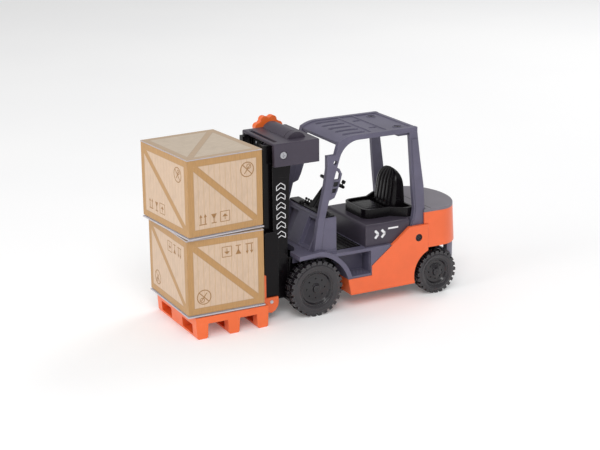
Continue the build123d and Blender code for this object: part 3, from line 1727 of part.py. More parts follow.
for end, centre_x, radius, width, rim_radius, lug_count in (
    ("front", front_axle_x, front_tyre_radius, front_tyre_width, 15.4, 26),
    ("rear", rear_axle_x, rear_tyre_radius, rear_tyre_width, 12.2, 24),
):
    for side, hand in sides:
        tyre = make_tyre(side, centre_x, radius, width, rim_radius, lug_count)
        tyre.label = f"tyre_{end}_{hand}"
        export_step(tyre, f"parts/tyre_{end}_{hand}.step")
        rim = make_rim(side, centre_x, radius, width, rim_radius)
        rim.label = f"rim_{end}_{hand}"
        export_step(rim, f"parts/rim_{end}_{hand}.step")
    axle_half_length = wheel_half_width - 3.6
    with BuildPart() as axle:
        with BuildSketch(Plane.XZ.offset(-axle_half_length)):
            with Locations((centre_x, radius)):
                Circle(axle_radius)
        extrude(amount=2 * axle_half_length)
    axle.part.label = f"axle_{end}"
    export_step(axle.part, f"parts/axle_{end}.step")
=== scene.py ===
"""Visual model of a toy forklift truck with a wound mast, a pallet and two crates."""
import logging
import math
from dataclasses import dataclass
from enum import Enum
from functools import cache
from typing import Any

import bmesh
import bpy
from mathutils import Matrix, Vector


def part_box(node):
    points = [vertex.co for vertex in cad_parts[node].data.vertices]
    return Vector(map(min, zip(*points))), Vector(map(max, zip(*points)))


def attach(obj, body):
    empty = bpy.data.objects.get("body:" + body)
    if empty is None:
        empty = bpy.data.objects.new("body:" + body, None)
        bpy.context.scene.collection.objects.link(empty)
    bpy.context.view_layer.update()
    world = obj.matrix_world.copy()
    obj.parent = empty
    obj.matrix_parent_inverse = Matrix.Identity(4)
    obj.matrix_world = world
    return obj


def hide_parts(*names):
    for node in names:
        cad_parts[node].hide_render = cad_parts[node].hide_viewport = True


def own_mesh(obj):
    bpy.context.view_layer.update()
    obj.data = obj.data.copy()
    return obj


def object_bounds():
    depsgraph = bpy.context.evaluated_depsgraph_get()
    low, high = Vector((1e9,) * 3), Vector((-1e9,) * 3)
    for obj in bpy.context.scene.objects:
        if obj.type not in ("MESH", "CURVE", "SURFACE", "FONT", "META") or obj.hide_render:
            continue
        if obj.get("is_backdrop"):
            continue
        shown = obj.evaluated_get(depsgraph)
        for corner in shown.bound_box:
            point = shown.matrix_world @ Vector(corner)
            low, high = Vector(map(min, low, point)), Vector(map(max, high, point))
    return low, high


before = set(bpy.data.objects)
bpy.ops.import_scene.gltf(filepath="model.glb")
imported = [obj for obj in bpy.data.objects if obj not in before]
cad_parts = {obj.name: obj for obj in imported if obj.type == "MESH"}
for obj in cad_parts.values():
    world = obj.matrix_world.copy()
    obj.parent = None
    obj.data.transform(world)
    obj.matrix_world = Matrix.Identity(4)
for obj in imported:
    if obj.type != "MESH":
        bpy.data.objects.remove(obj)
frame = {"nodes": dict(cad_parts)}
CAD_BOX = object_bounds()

log = logging.getLogger("forklift")

MM = 0.001


def extent(node: str) -> tuple[Vector, Vector]:
    """Lowest and highest corner of a CAD node, in millimetres."""
    low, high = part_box(node)
    return Vector(low) / MM, Vector(high) / MM


def middle_x(node: str) -> float:
    """Where a CAD node's middle lies along the truck, in millimetres."""
    low, high = extent(node)
    return (low.x + high.x) / 2


FRONT_AXLE_X = middle_x("axle_front")
REAR_AXLE_X = middle_x("axle_rear")
SIDES = ((1, "left"), (-1, "right"))
Colour = tuple[float, float, float]
Point = tuple[float, float]


# ------------------------------------------------------------------ shader expressions
class Value:
    """A number on a shader socket, whose arithmetic adds Math nodes."""

    def __init__(self, graph: "Graph", socket: bpy.types.NodeSocket) -> None:
        """Keeps the socket and the graph it belongs to."""
        self.graph = graph
        self.socket = socket

    def math(self, operation: str, *others: Any, swap: bool = False) -> "Value":
        """Adds one Math node.

        Args:
            operation: The Math node's operation.
            others: The further operands, values or numbers.
            swap: True when the first other operand comes before this one.

        Returns:
            The node's result.
        """
        terms = [self, *others]
        if swap:
            terms[0], terms[1] = terms[1], terms[0]
        node = self.graph.add("ShaderNodeMath", {"operation": operation}, dict(enumerate(terms)))
        return Value(self.graph, node.outputs[0])

    def __add__(self, other: Any) -> "Value":
        """Sum."""
        return self.math("ADD", other)

    __radd__ = __add__

    def __sub__(self, other: Any) -> "Value":
        """Difference."""
        return self.math("SUBTRACT", other)

    def __rsub__(self, other: Any) -> "Value":
        """Difference from a number."""
        return self.math("SUBTRACT", other, swap=True)

    def __mul__(self, other: Any) -> "Value":
        """Product."""
        return self.math("MULTIPLY", other)

    __rmul__ = __mul__

    def __truediv__(self, other: Any) -> "Value":
        """Quotient."""
        return self.math("DIVIDE", other)

    def __gt__(self, other: Any) -> "Value":
        """1 where this is above the other, else 0."""
        return self.math("GREATER_THAN", other)

    def __abs__(self) -> "Value":
        """Size without sign."""
        return self.math("ABSOLUTE")

    def sign(self) -> "Value":
        """Sign, -1, 0 or 1."""
        return self.math("SIGN")

    def root(self) -> "Value":
        """Square root."""
        return self.math("SQRT")

    def fraction(self) -> "Value":
        """Part after the decimal point."""
        return self.math("FRACT")

    def floor(self) -> "Value":
        """Whole part."""
        return self.math("FLOOR")

    def either(self, other: Any) -> "Value":
        """The larger of two masks."""
        return self.math("MAXIMUM", other)

    def ramp(self, low: float, high: float) -> "Value":
        """Smooth step from 0 at low to 1 at high."""
        node = self.graph.add(
            "ShaderNodeMapRange",
            {"interpolation_type": "SMOOTHSTEP"},
            {"Value": self, "From Min": low, "From Max": high},
        )
        return Value(self.graph, node.outputs[0])


class Graph:
    """The node tree of one material."""

    def __init__(self, name: str) -> None:
        """Makes an empty material with a shader and its output."""
        self.material = bpy.data.materials.new(name)
        self.material.use_nodes = True
        self.tree = self.material.node_tree
        self.tree.nodes.clear()
        self.shader = self.add("ShaderNodeBsdfPrincipled")
        self.add("ShaderNodeOutputMaterial", None, {"Surface": self.shader.outputs[0]})

    def add(
        self, kind: str, settings: dict[str, Any] | None = None, values: dict[Any, Any] | None = None
    ) -> bpy.types.Node:
        """Adds one node.

        Args:
            kind: The node's type.
            settings: Its own properties, set first.
            values: Numbers, colours, values or sockets for its inputs, by name or index.

        Returns:
            The node.
        """
        node = self.tree.nodes.new(kind)
        for name, setting in (settings or {}).items():
            setattr(node, name, setting)
        for name, value in (values or {}).items():
            self.feed(node.inputs[name], value)
        return node

    def feed(self, socket: bpy.types.NodeSocket, value: Any) -> None:
        """Links a value or socket to an input, or sets the input to a number or colour."""
        if isinstance(value, Value):
            self.tree.links.new(value.socket, socket)
        elif isinstance(value, bpy.types.NodeSocket):
            self.tree.links.new(value, socket)
        elif isinstance(value, tuple) and len(value) == 3 and socket.type == "RGBA":
            socket.default_value = (*value, 1.0)
        else:
            socket.default_value = value

    def coordinates(self, output: str = "Object") -> bpy.types.NodeSocket:
        """One of the texture coordinates."""
        return self.add("ShaderNodeTexCoord").outputs[output]

    def split(self, vector: Any) -> tuple[Value, Value, Value]:
        """The three parts of a vector."""
        node = self.add("ShaderNodeSeparateXYZ", None, {0: vector})
        return tuple(Value(self, output) for output in node.outputs)

    def join(self, x: Any, y: Any, z: Any) -> bpy.types.NodeSocket:
        """A vector from three numbers."""
        return self.add("ShaderNodeCombineXYZ", None, {0: x, 1: y, 2: z}).outputs[0]

    def placed(self, centre: Vector, turn: float) -> bpy.types.NodeSocket:
        """Object coordinates in millimetres from a centre, along axes turned about Z."""
        node = self.add(
            "ShaderNodeMapping",
            {"vector_type": "TEXTURE"},
            {
                "Vector": self.coordinates(),
                "Location": tuple(centre),
                "Rotation": (0.0, 0.0, turn),
                "Scale": (MM, MM, MM),
            },
        )
        return node.outputs[0]

    def noise(self, vector: Any, scale: float, detail: float = 2.0, rough: float = 0.5) -> Value:
        """Cloudy noise from 0 to 1."""
        node = self.add(
            "ShaderNodeTexNoise",
            None,
            {"Vector": vector, "Scale": scale, "Detail": detail, "Roughness": rough},
        )
        return Value(self, node.outputs[0])

    def mix(self, factor: Any, first: Any, second: Any) -> bpy.types.NodeSocket:
        """Colour between two colours."""
        node = self.add(
            "ShaderNodeMix", {"data_type": "RGBA"}, {0: factor, 6: first, 7: second}
        )
        return node.outputs[2]

    def rounded(self, radius: float) -> tuple[bpy.types.NodeSocket, Value]:
        """The normal with softened edges, and a mask that is 1 along outer and inner edges."""
        soft = self.add("ShaderNodeBevel", {"samples": 6}, {"Radius": radius}).outputs[0]
        true = self.add("ShaderNodeNewGeometry").outputs["Normal"]
        dot = self.add("ShaderNodeVectorMath", {"operation": "DOT_PRODUCT"}, {0: soft, 1: true})
        return soft, (1.0 - Value(self, dot.outputs["Value"])).ramp(0.01, 0.22)

    def finish(
        self, colour: Any, rough: Any, height: Any, depth: float, normal: Any = None, **constants: Any
    ) -> bpy.types.Material:
        """Connects the shader.

        Args:
            colour: Base colour.
            rough: Roughness.
            height: Bump height from 0 to 1.
            depth: What a height of 1 stands for, in metres.
            normal: Normal under the bump.
            constants: Fixed values for the shader's other inputs, with _ for a space.

        Returns:
            The material.
        """
        values = {"Height": height, "Distance": depth, "Strength": 1.0}
        if normal is not None:
            values["Normal"] = normal
        bump = self.add("ShaderNodeBump", None, values)
        self.feed(self.shader.inputs["Base Color"], colour)
        self.feed(self.shader.inputs["Roughness"], rough)
        self.feed(self.shader.inputs["Normal"], bump.outputs[0])
        for name, value in constants.items():
            self.shader.inputs[name.replace("_", " ")].default_value = value
        return self.material


def shade(colour: Colour, factor: float) -> Colour:
    """A colour made darker or lighter, kept within what a surface can have."""
    return tuple(min(0.96, part * factor) for part in colour)


# ------------------------------------------------------------------ finishes
@dataclass(frozen=True)
class Moulding:
    """Injection-moulded plastic: spark-eroded grain, soft edges with a painted highlight along them,
    flow marks and handling rub.
    """

    name: str
    colour: Colour
    roughness: float = 0.38
    grain_depth: float = 0.00003
    grain_scale: float = 1400.0
    mottling: float = 0.06
    # painted highlight: how far every outer and inner edge is lightened towards a paler colour
    painted_edge_highlight: float = 0.25
    specular: float = 0.5
    rub: float = 0.05

    def make(self) -> bpy.types.Material:
        """Builds the material."""
        graph = Graph(self.name)
        place = graph.coordinates()
        x, y, z = graph.split(place)
        flow = graph.noise(graph.join(x * 18.0, y * 18.0, z * 60.0), 1.0, 3.0)
        cloud = graph.noise(place, 55.0, 3.0, 0.6)
        grain = graph.noise(place, self.grain_scale, 2.0, 0.6)
        scratches = graph.noise(graph.join(x * 60.0, y * 2200.0, z * 900.0), 1.0, 1.0)
        rubbed = scratches.ramp(0.66, 0.74) * cloud.ramp(0.5, 0.7)
        soft, edge = graph.rounded(0.0006)
        tone = (cloud * 0.6 + flow * 0.4).ramp(0.3, 0.7)
        body = graph.mix(
            tone, shade(self.colour, 1.0 - self.mottling), shade(self.colour, 1.0 + self.mottling)
        )
        speckled = graph.mix(grain.ramp(0.58, 0.75) * 0.25, body, shade(self.colour, 0.8))
        # A paler colour, used for real handling rub and for a painted highlight along outer and inner
        # edges
        pale = tuple(part + (1.0 - part) * 0.12 for part in self.colour)
        lightened = graph.mix(edge * self.painted_edge_highlight + rubbed * self.rub * 2.0, speckled, pale)
        rough = self.roughness + (cloud - 0.5) * 0.12 + rubbed * 0.12 - edge * 0.06
        return graph.finish(
            lightened, rough, grain, self.grain_depth, soft, Specular_IOR_Level=self.specular
        )


@dataclass(frozen=True)
class Metal:
    """Bright drawn steel with turning marks round its own axis and a painted highlight along its
    edges.
    """

    name: str
    colour: Colour = (0.62, 0.62, 0.64)
    roughness: float = 0.24

    def make(self) -> bpy.types.Material:
        """Builds the material."""
        graph = Graph(self.name)
        place = graph.coordinates()
        x, y, z = graph.split(place)
        lines = graph.noise(graph.join(x * 3000.0, y * 120.0, z * 3000.0), 1.0, 2.0)
        stain = graph.noise(place, 220.0, 3.0, 0.6)
        soft, edge = graph.rounded(0.0002)
        colour = graph.mix(stain.ramp(0.35, 0.8), self.colour, shade(self.colour, 0.72))
        # painted highlight: every edge is lightened towards a pale grey
        edge_highlit = graph.mix(edge * 0.4, colour, (0.85, 0.85, 0.86))
        rough = self.roughness + lines * 0.14 + stain * 0.08
        return graph.finish(edge_highlit, rough, lines, 0.000008, soft, Metallic=1.0)


@dataclass(frozen=True)
class Braid:
    """Braided cord, with strands that wind round the given axis."""

    name: str
    along: int = 2
    pitch: float = 0.9

    def make(self) -> bpy.types.Material:
        """Builds the material."""
        graph = Graph(self.name)
        place = graph.coordinates()
        parts = graph.split(place)
        run = parts[self.along] / (self.pitch * MM)
        wobble = graph.noise(place, 2400.0, 2.0)
        strand = abs((run + wobble * 0.25).fraction() - 0.5) * 2.0
        fuzz = graph.noise(place, 9000.0, 2.0)
        colour = graph.mix(strand * 0.7 + fuzz * 0.3, (0.010, 0.010, 0.011), (0.055, 0.053, 0.056))
        return graph.finish(colour, 0.72 + fuzz * 0.2, strand, 0.00012)


@dataclass(frozen=True)
class CrateBoard:
    """Cardboard printed as a slatted wooden crate with a frame and one brace on every face."""

    name: str
    turn: float                     # degrees about Z
    centre: tuple[float, float, float]  # middle of the printed walls, millimetres
    half_length: float
    half_width: float
    half_height: float
    top: bool = False
    slat: float = 4.9
    frame: float = 5.3
    brace_half: float = 2.45
    feather: float = 0.12           # soft edge of the print
    slat_colour: Colour = (0.60, 0.44, 0.315)
    frame_colour: Colour = (0.48, 0.27, 0.105)
    paper_colour: Colour = (0.50, 0.45, 0.46)

    def make(self) -> bpy.types.Material:
        """Builds the material."""
        graph = Graph(self.name)
        centre = Vector(self.centre) * MM
        x, y, z = graph.split(graph.placed(centre, math.radians(self.turn)))
        nx, ny, nz = graph.split(graph.coordinates("Normal"))
        if self.top:
            u, v = y, x
            reach_u, reach_v = y * 0.0 + self.half_width, self.half_length
        else:
            long_side = abs(ny) > abs(nx)
            u = long_side * (ny.sign() * -1.0 * x) + (1.0 - long_side) * (nx.sign() * y)
            v = z
            reach_u = long_side * self.half_length + (1.0 - long_side) * self.half_width
            reach_v = self.half_height
        lean = -1.0 if self.top else 1.0
        inner_u = reach_u - self.frame
        inner_v = reach_v - self.frame
        border = (abs(u) - inner_u).math("MAXIMUM", abs(v) - inner_v)
        slope = (inner_u * inner_u + inner_v * inner_v).root()
        brace = abs(v * inner_u + u * inner_v * lean) / slope - self.brace_half
        inside = border.math("MULTIPLY", -1.0)
        gap = border.either(brace.math("MULTIPLY", -1.0))
        wood_frame = border.ramp(-self.feather, self.feather).either(
            (brace * -1.0).ramp(-self.feather, self.feather) * inside.ramp(-0.1, 0.1)
        )
        outline = 1.0 - abs(gap).ramp(0.1, 0.45)
        slat_at = u / self.slat
        seam = 1.0 - (abs(slat_at.fraction() - 0.5) * -1.0 + 0.5).ramp(0.01, 0.07)
        streak = graph.noise(graph.join(u * 2.4, v * 0.12, slat_at.floor() * 7.0), 1.0, 3.0, 0.6)
        blotch = graph.noise(graph.join(u, v, 0.0), 0.09, 3.0, 0.6)
        board = graph.mix(streak.ramp(0.3, 0.75), self.slat_colour, shade(self.slat_colour, 1.2))
        board = graph.mix(blotch.ramp(0.4, 0.75) * 0.35, board, shade(self.slat_colour, 0.86))
        board = graph.mix(seam * 0.45, board, shade(self.frame_colour, 1.05))
        timber = graph.mix(
            streak.ramp(0.25, 0.8), shade(self.frame_colour, 0.9), shade(self.frame_colour, 1.14)
        )
        print_colour = graph.mix(wood_frame, board, timber)
        print_colour = graph.mix(outline * 0.5, print_colour, shade(self.frame_colour, 0.74))
        soft, edge = graph.rounded(0.0005)
        lightened = graph.mix(edge * blotch.ramp(0.35, 0.7) * 0.45, print_colour, (0.74, 0.6, 0.45))
        printed = nz.ramp(0.4, 0.6) if self.top else 1.0 - abs(nz).ramp(0.4, 0.6)
        colour = graph.mix(printed, self.paper_colour, lightened)
        rough = 0.42 + blotch * 0.12 + edge * 0.1
        flute = graph.noise(graph.join(u * 1.6, v * 0.2, 1.0), 1.0, 2.0)
        return graph.finish(colour, rough, flute, 0.00006, soft, Specular_IOR_Level=0.5)


@dataclass(frozen=True)
class Card:
    """Uncoated white card with fibres and thumbed edges."""

    name: str
    colour: Colour = (0.60, 0.57, 0.60)

    def make(self) -> bpy.types.Material:
        """Builds the material."""
        graph = Graph(self.name)
        place = graph.coordinates()
        x, y, z = graph.split(place)
        fibre = graph.noise(graph.join(x * 900.0, y * 300.0, z * 2600.0), 1.0, 3.0, 0.65)
        smudge = graph.noise(place, 60.0, 3.0, 0.6)
        colour = graph.mix(fibre.ramp(0.3, 0.75), shade(self.colour, 0.86), self.colour)
        dirty = graph.mix(smudge.ramp(0.5, 0.8) * 0.4, colour, (0.5, 0.42, 0.36))
        soft, edge = graph.rounded(0.0003)
        return graph.finish(dirty, 0.75 + edge * 0.1, fibre, 0.00004, soft)


@dataclass(frozen=True)
class Ink:
    """Print or pad-printed paint laid on a surface, thin in places; also used for painted shadow."""

    name: str
    colour: Colour
    roughness: float = 0.45
    thin: float = 0.2

    def make(self) -> bpy.types.Material:
        """Builds the material."""
        graph = Graph(self.name)
        place = graph.coordinates()
        patch = graph.noise(place, 700.0, 3.0, 0.65)
        colour = graph.mix(patch.ramp(0.4, 0.8) * self.thin, self.colour, shade(self.colour, 0.6))
        return graph.finish(colour, self.roughness + patch * 0.15, patch, 0.00001)


class Finish(Enum):
    """Every finish of the toy."""

    ORANGE = Moulding(
        "orange_moulding",
        (0.90, 0.150, 0.040),
        roughness=0.34,
        mottling=0.05,
        painted_edge_highlight=0.4,
    )
    KNOB = Moulding(
        "knob_moulding",
        (0.95, 0.165, 0.030),
        roughness=0.28,
        mottling=0.05,
        painted_edge_highlight=0.3,
    )
    PALLET = Moulding(
        "pallet_moulding",
        (0.90, 0.160, 0.038),
        roughness=0.32,
        mottling=0.05,
        painted_edge_highlight=0.45,
    )
    GREY = Moulding(
        "grey_moulding",
        (0.122, 0.113, 0.168),
        roughness=0.40,
        grain_depth=0.00004,
        grain_scale=1600.0,
        mottling=0.10,
        painted_edge_highlight=0.60,
        specular=0.35,
    )
    HOOD = Moulding(
        "hood_moulding",
        (0.200, 0.184, 0.212),
        roughness=0.5,
        grain_depth=0.00004,
        grain_scale=1600.0,
        mottling=0.08,
        painted_edge_highlight=0.3,
        specular=0.4,
    )
    DARK = Moulding(
        "dark_grey_moulding",
        (0.058, 0.048, 0.068),
        roughness=0.34,
        grain_depth=0.00004,
        grain_scale=1600.0,
        mottling=0.10,
        painted_edge_highlight=0.60,
        specular=0.3,
    )
    BLACK = Moulding(
        "black_moulding",
        (0.004, 0.003, 0.004),
        roughness=0.20,
        grain_depth=0.00002,
        grain_scale=1300.0,
        mottling=0.2,
        painted_edge_highlight=0.55,
        specular=0.16,
    )
    SEAT = Moulding(
        "seat_moulding",
        (0.004, 0.003, 0.004),
        roughness=0.24,
        grain_depth=0.00003,
        grain_scale=1100.0,
        mottling=0.2,
        painted_edge_highlight=0.45,
        specular=0.22,
    )
    TYRE = Moulding(
        "tyre_moulding",
        (0.014, 0.011, 0.015),
        roughness=0.24,
        grain_depth=0.00005,
        grain_scale=900.0,
        mottling=0.2,
        painted_edge_highlight=1.0,
        specular=0.7,
    )
    RIM = Moulding(
        "rim_moulding",
        (0.008, 0.006, 0.009),
        roughness=0.17,
        grain_depth=0.00001,
        grain_scale=1200.0,
        mottling=0.2,
        painted_edge_highlight=1.0,
        specular=0.6,
    )
    STEEL = Metal("bright_metal")
    SCREW = Metal("screw_metal", (0.52, 0.52, 0.55), 0.2)
    DARK_SCREW = Metal("dark_screw_metal", (0.05, 0.045, 0.05), 0.34)
    CORD = Braid("lift_cord", 2)
    WOUND = Braid("wound_cord", 1, 1.2)
    CARD = Card("base_card")
    WHITE_INK = Ink("white_print", (0.82, 0.82, 0.84), 0.4, 0.15)
    BROWN_INK = Ink("brown_print", (0.36, 0.185, 0.065), 0.5, 0.35)
    # painted shadow: a dark sheet laid in the hood's parting line and in the grab-handle pockets,
    # where only shade falls
    PAINTED_SHADOW = Ink("seam_shadow", (0.02, 0.02, 0.022), 0.7, 0.2)

    @cache
    def get(self) -> bpy.types.Material:
        """The finish's material, made when it is first asked for."""
        return self.value.make()


def dress(finish: Finish | CrateBoard, *nodes: str) -> None:
    """Gives CAD nodes a finish in every material slot."""
    material = finish.get() if isinstance(finish, Finish) else finish.make()
    for node in nodes:
        slots = frame["nodes"][node].data.materials
        slots.clear()
        slots.append(material)
    log.info("dressed %s in %s", ", ".join(nodes), material.name)


# ------------------------------------------------------------------ mesh work
class Shape:
    """A mesh being modelled in millimetres, in the truck's own axes."""

    RING_STEPS = 36

    def __init__(self) -> None:
        """Starts empty."""
        self.bm = bmesh.new()

    def block(self, low: Vector, high: Vector, bevel: float = 0.0) -> list[bmesh.types.BMVert]:
        """Adds a box with rounded edges.

        Args:
            low: Lowest corner.
            high: Highest corner.
            bevel: Radius of its edges.

        Returns:
            Its vertices before the edges were rounded.
        """
        middle = (Vector(low) + Vector(high)) / 2
        size = Vector(high) - Vector(low)
        matrix = Matrix.Translation(middle) @ Matrix.Diagonal((*size, 1.0))
        verts = bmesh.ops.create_cube(self.bm, size=1.0, matrix=matrix)["verts"]
        if bevel:
            self.round(verts, bevel)
        return verts

    def round(self, verts: list[bmesh.types.BMVert], radius: float, segments: int = 3) -> None:
        """Rounds every edge between the given vertices."""
        edges = {edge for vert in verts for edge in vert.link_edges}
        bmesh.ops.bevel(
            self.bm,
            geom=list(edges),
            offset=radius,
            offset_type="OFFSET",
            affect="EDGES",
            segments=segments,
            profile=0.5,
            material=-1,
        )

    def bar(
        self, plane: Matrix, start: Point, end: Point, width: float, thickness: float
    ) -> None:
        """Adds a flat bar between two points of a plane, standing on it.

        Args:
            plane: The plane it stands on.
            start: The middle of its first end.
            end: The middle of its other end.
            width: Its width on the plane.
            thickness: Its height.
        """
        along = Vector(end) - Vector(start)
        middle = (Vector(start) + Vector(end)) / 2
        matrix = (
            plane
            @ Matrix.Translation((middle.x, middle.y, thickness / 2))
            @ Matrix.Rotation(math.atan2(along.y, along.x), 4, "Z")
            @ Matrix.Diagonal((along.length, width, thickness, 1.0))
        )
        bmesh.ops.create_cube(self.bm, size=1.0, matrix=matrix)

    def outline(self, plane: Matrix, points: list[Point], width: float, thickness: float) -> None:
        """Adds bars round a closed outline."""
        for start, end in zip(points, points[1:] + points[:1]):
            self.bar(plane, start, end, width, thickness)

    def ring(
        self, plane: Matrix, centre: Point, radius: float, width: float, thickness: float
    ) -> None:
        """Adds a flat ring that stands on a plane.

        Args:
            plane: The plane it stands on.
            centre: Its middle on the plane.
            radius: Its outer radius.
            width: From its outer to its inner edge.
            thickness: Its height.
        """
        inner = radius - width
        corners = [(inner, 0.0), (radius, 0.0), (radius, thickness), (inner, thickness)]
        verts = [self.bm.verts.new((x, 0.0, z)) for x, z in corners]
        edges = [self.bm.edges.new((a, b)) for a, b in zip(verts, verts[1:] + verts[:1])]
        before = set(self.bm.verts) - set(verts)
        bmesh.ops.spin(
            self.bm,
            geom=verts + edges,
            cent=(0.0, 0.0, 0.0),
            axis=(0.0, 0.0, 1.0),
            angle=2 * math.pi,
            steps=self.RING_STEPS,
            use_merge=True,
        )
        made = [vert for vert in self.bm.verts if vert not in before]
        bmesh.ops.transform(self.bm, matrix=plane @ Matrix.Translation((*centre, 0.0)), verts=made)

    def prism(
        self,
        plane: Matrix,
        centre: Point,
        radii: Point,
        sides: int,
        turn: float,
        thickness: float,
        stretch: float = 1.0,
    ) -> None:
        """Adds a many-sided prism or cone that stands on a plane.

        Args:
            plane: The plane it stands on.
            centre: Its middle on the plane.
            radii: Its radius at the foot and at the top.
            sides: How many sides it has.
            turn: Its turn in degrees.
            thickness: Its height.
            stretch: How much longer it is along the plane's second axis.
        """
        matrix = (
            plane
            @ Matrix.Translation((*centre, thickness / 2))
            @ Matrix.Diagonal((1.0, stretch, 1.0, 1.0))
            @ Matrix.Rotation(math.radians(turn), 4, "Z")
        )
        bmesh.ops.create_cone(
            self.bm,
            cap_ends=True,
            segments=sides,
            radius1=radii[0],
            radius2=radii[1],
            depth=thickness,
            matrix=matrix,
        )

    def publish(
        self, name: str, finish: Finish, body: str, smooth: float = 35.0
    ) -> bpy.types.Object:
        """Makes the object.

        Args:
            name: The piece's name.
            finish: Its finish.
            body: The body that it rides on.
            smooth: The angle up to which its faces blend, in degrees.

        Returns:
            The object.
        """
        bmesh.ops.remove_doubles(self.bm, verts=self.bm.verts[:], dist=0.0005)
        bmesh.ops.recalc_face_normals(self.bm, faces=self.bm.faces[:])
        bmesh.ops.scale(self.bm, vec=(MM, MM, MM), verts=self.bm.verts[:])
        for face in self.bm.faces:
            face.smooth = True
        limit = math.radians(smooth)
        for edge in self.bm.edges:
            edge.smooth = len(edge.link_faces) == 2 and edge.calc_face_angle(0.0) < limit
        mesh = bpy.data.meshes.new(name)
        self.bm.to_mesh(mesh)
        self.bm.free()
        mesh.materials.append(finish.get())
        piece = bpy.data.objects.new(name, mesh)
        bpy.context.scene.collection.objects.link(piece)
        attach(piece, body)
        log.info("built %s on %s", name, body)
        return piece


def wall_plane(origin: Vector, outward: Vector, inverted: bool = False) -> Matrix:
    """Axes on an upright wall: across to the right as seen from outside, up, and outward.

    Args:
        origin: The middle of the wall.
        outward: The way the wall faces.
        inverted: True for a wall whose print stands on its head.

    Returns:
        The matrix from the wall's own axes to the truck's.
    """
    up = Vector((0.0, 0.0, -1.0 if inverted else 1.0))
    right = up.cross(outward)
    axes = Matrix((right, up, outward)).transposed().to_4x4()
    return Matrix.Translation(origin) @ axes


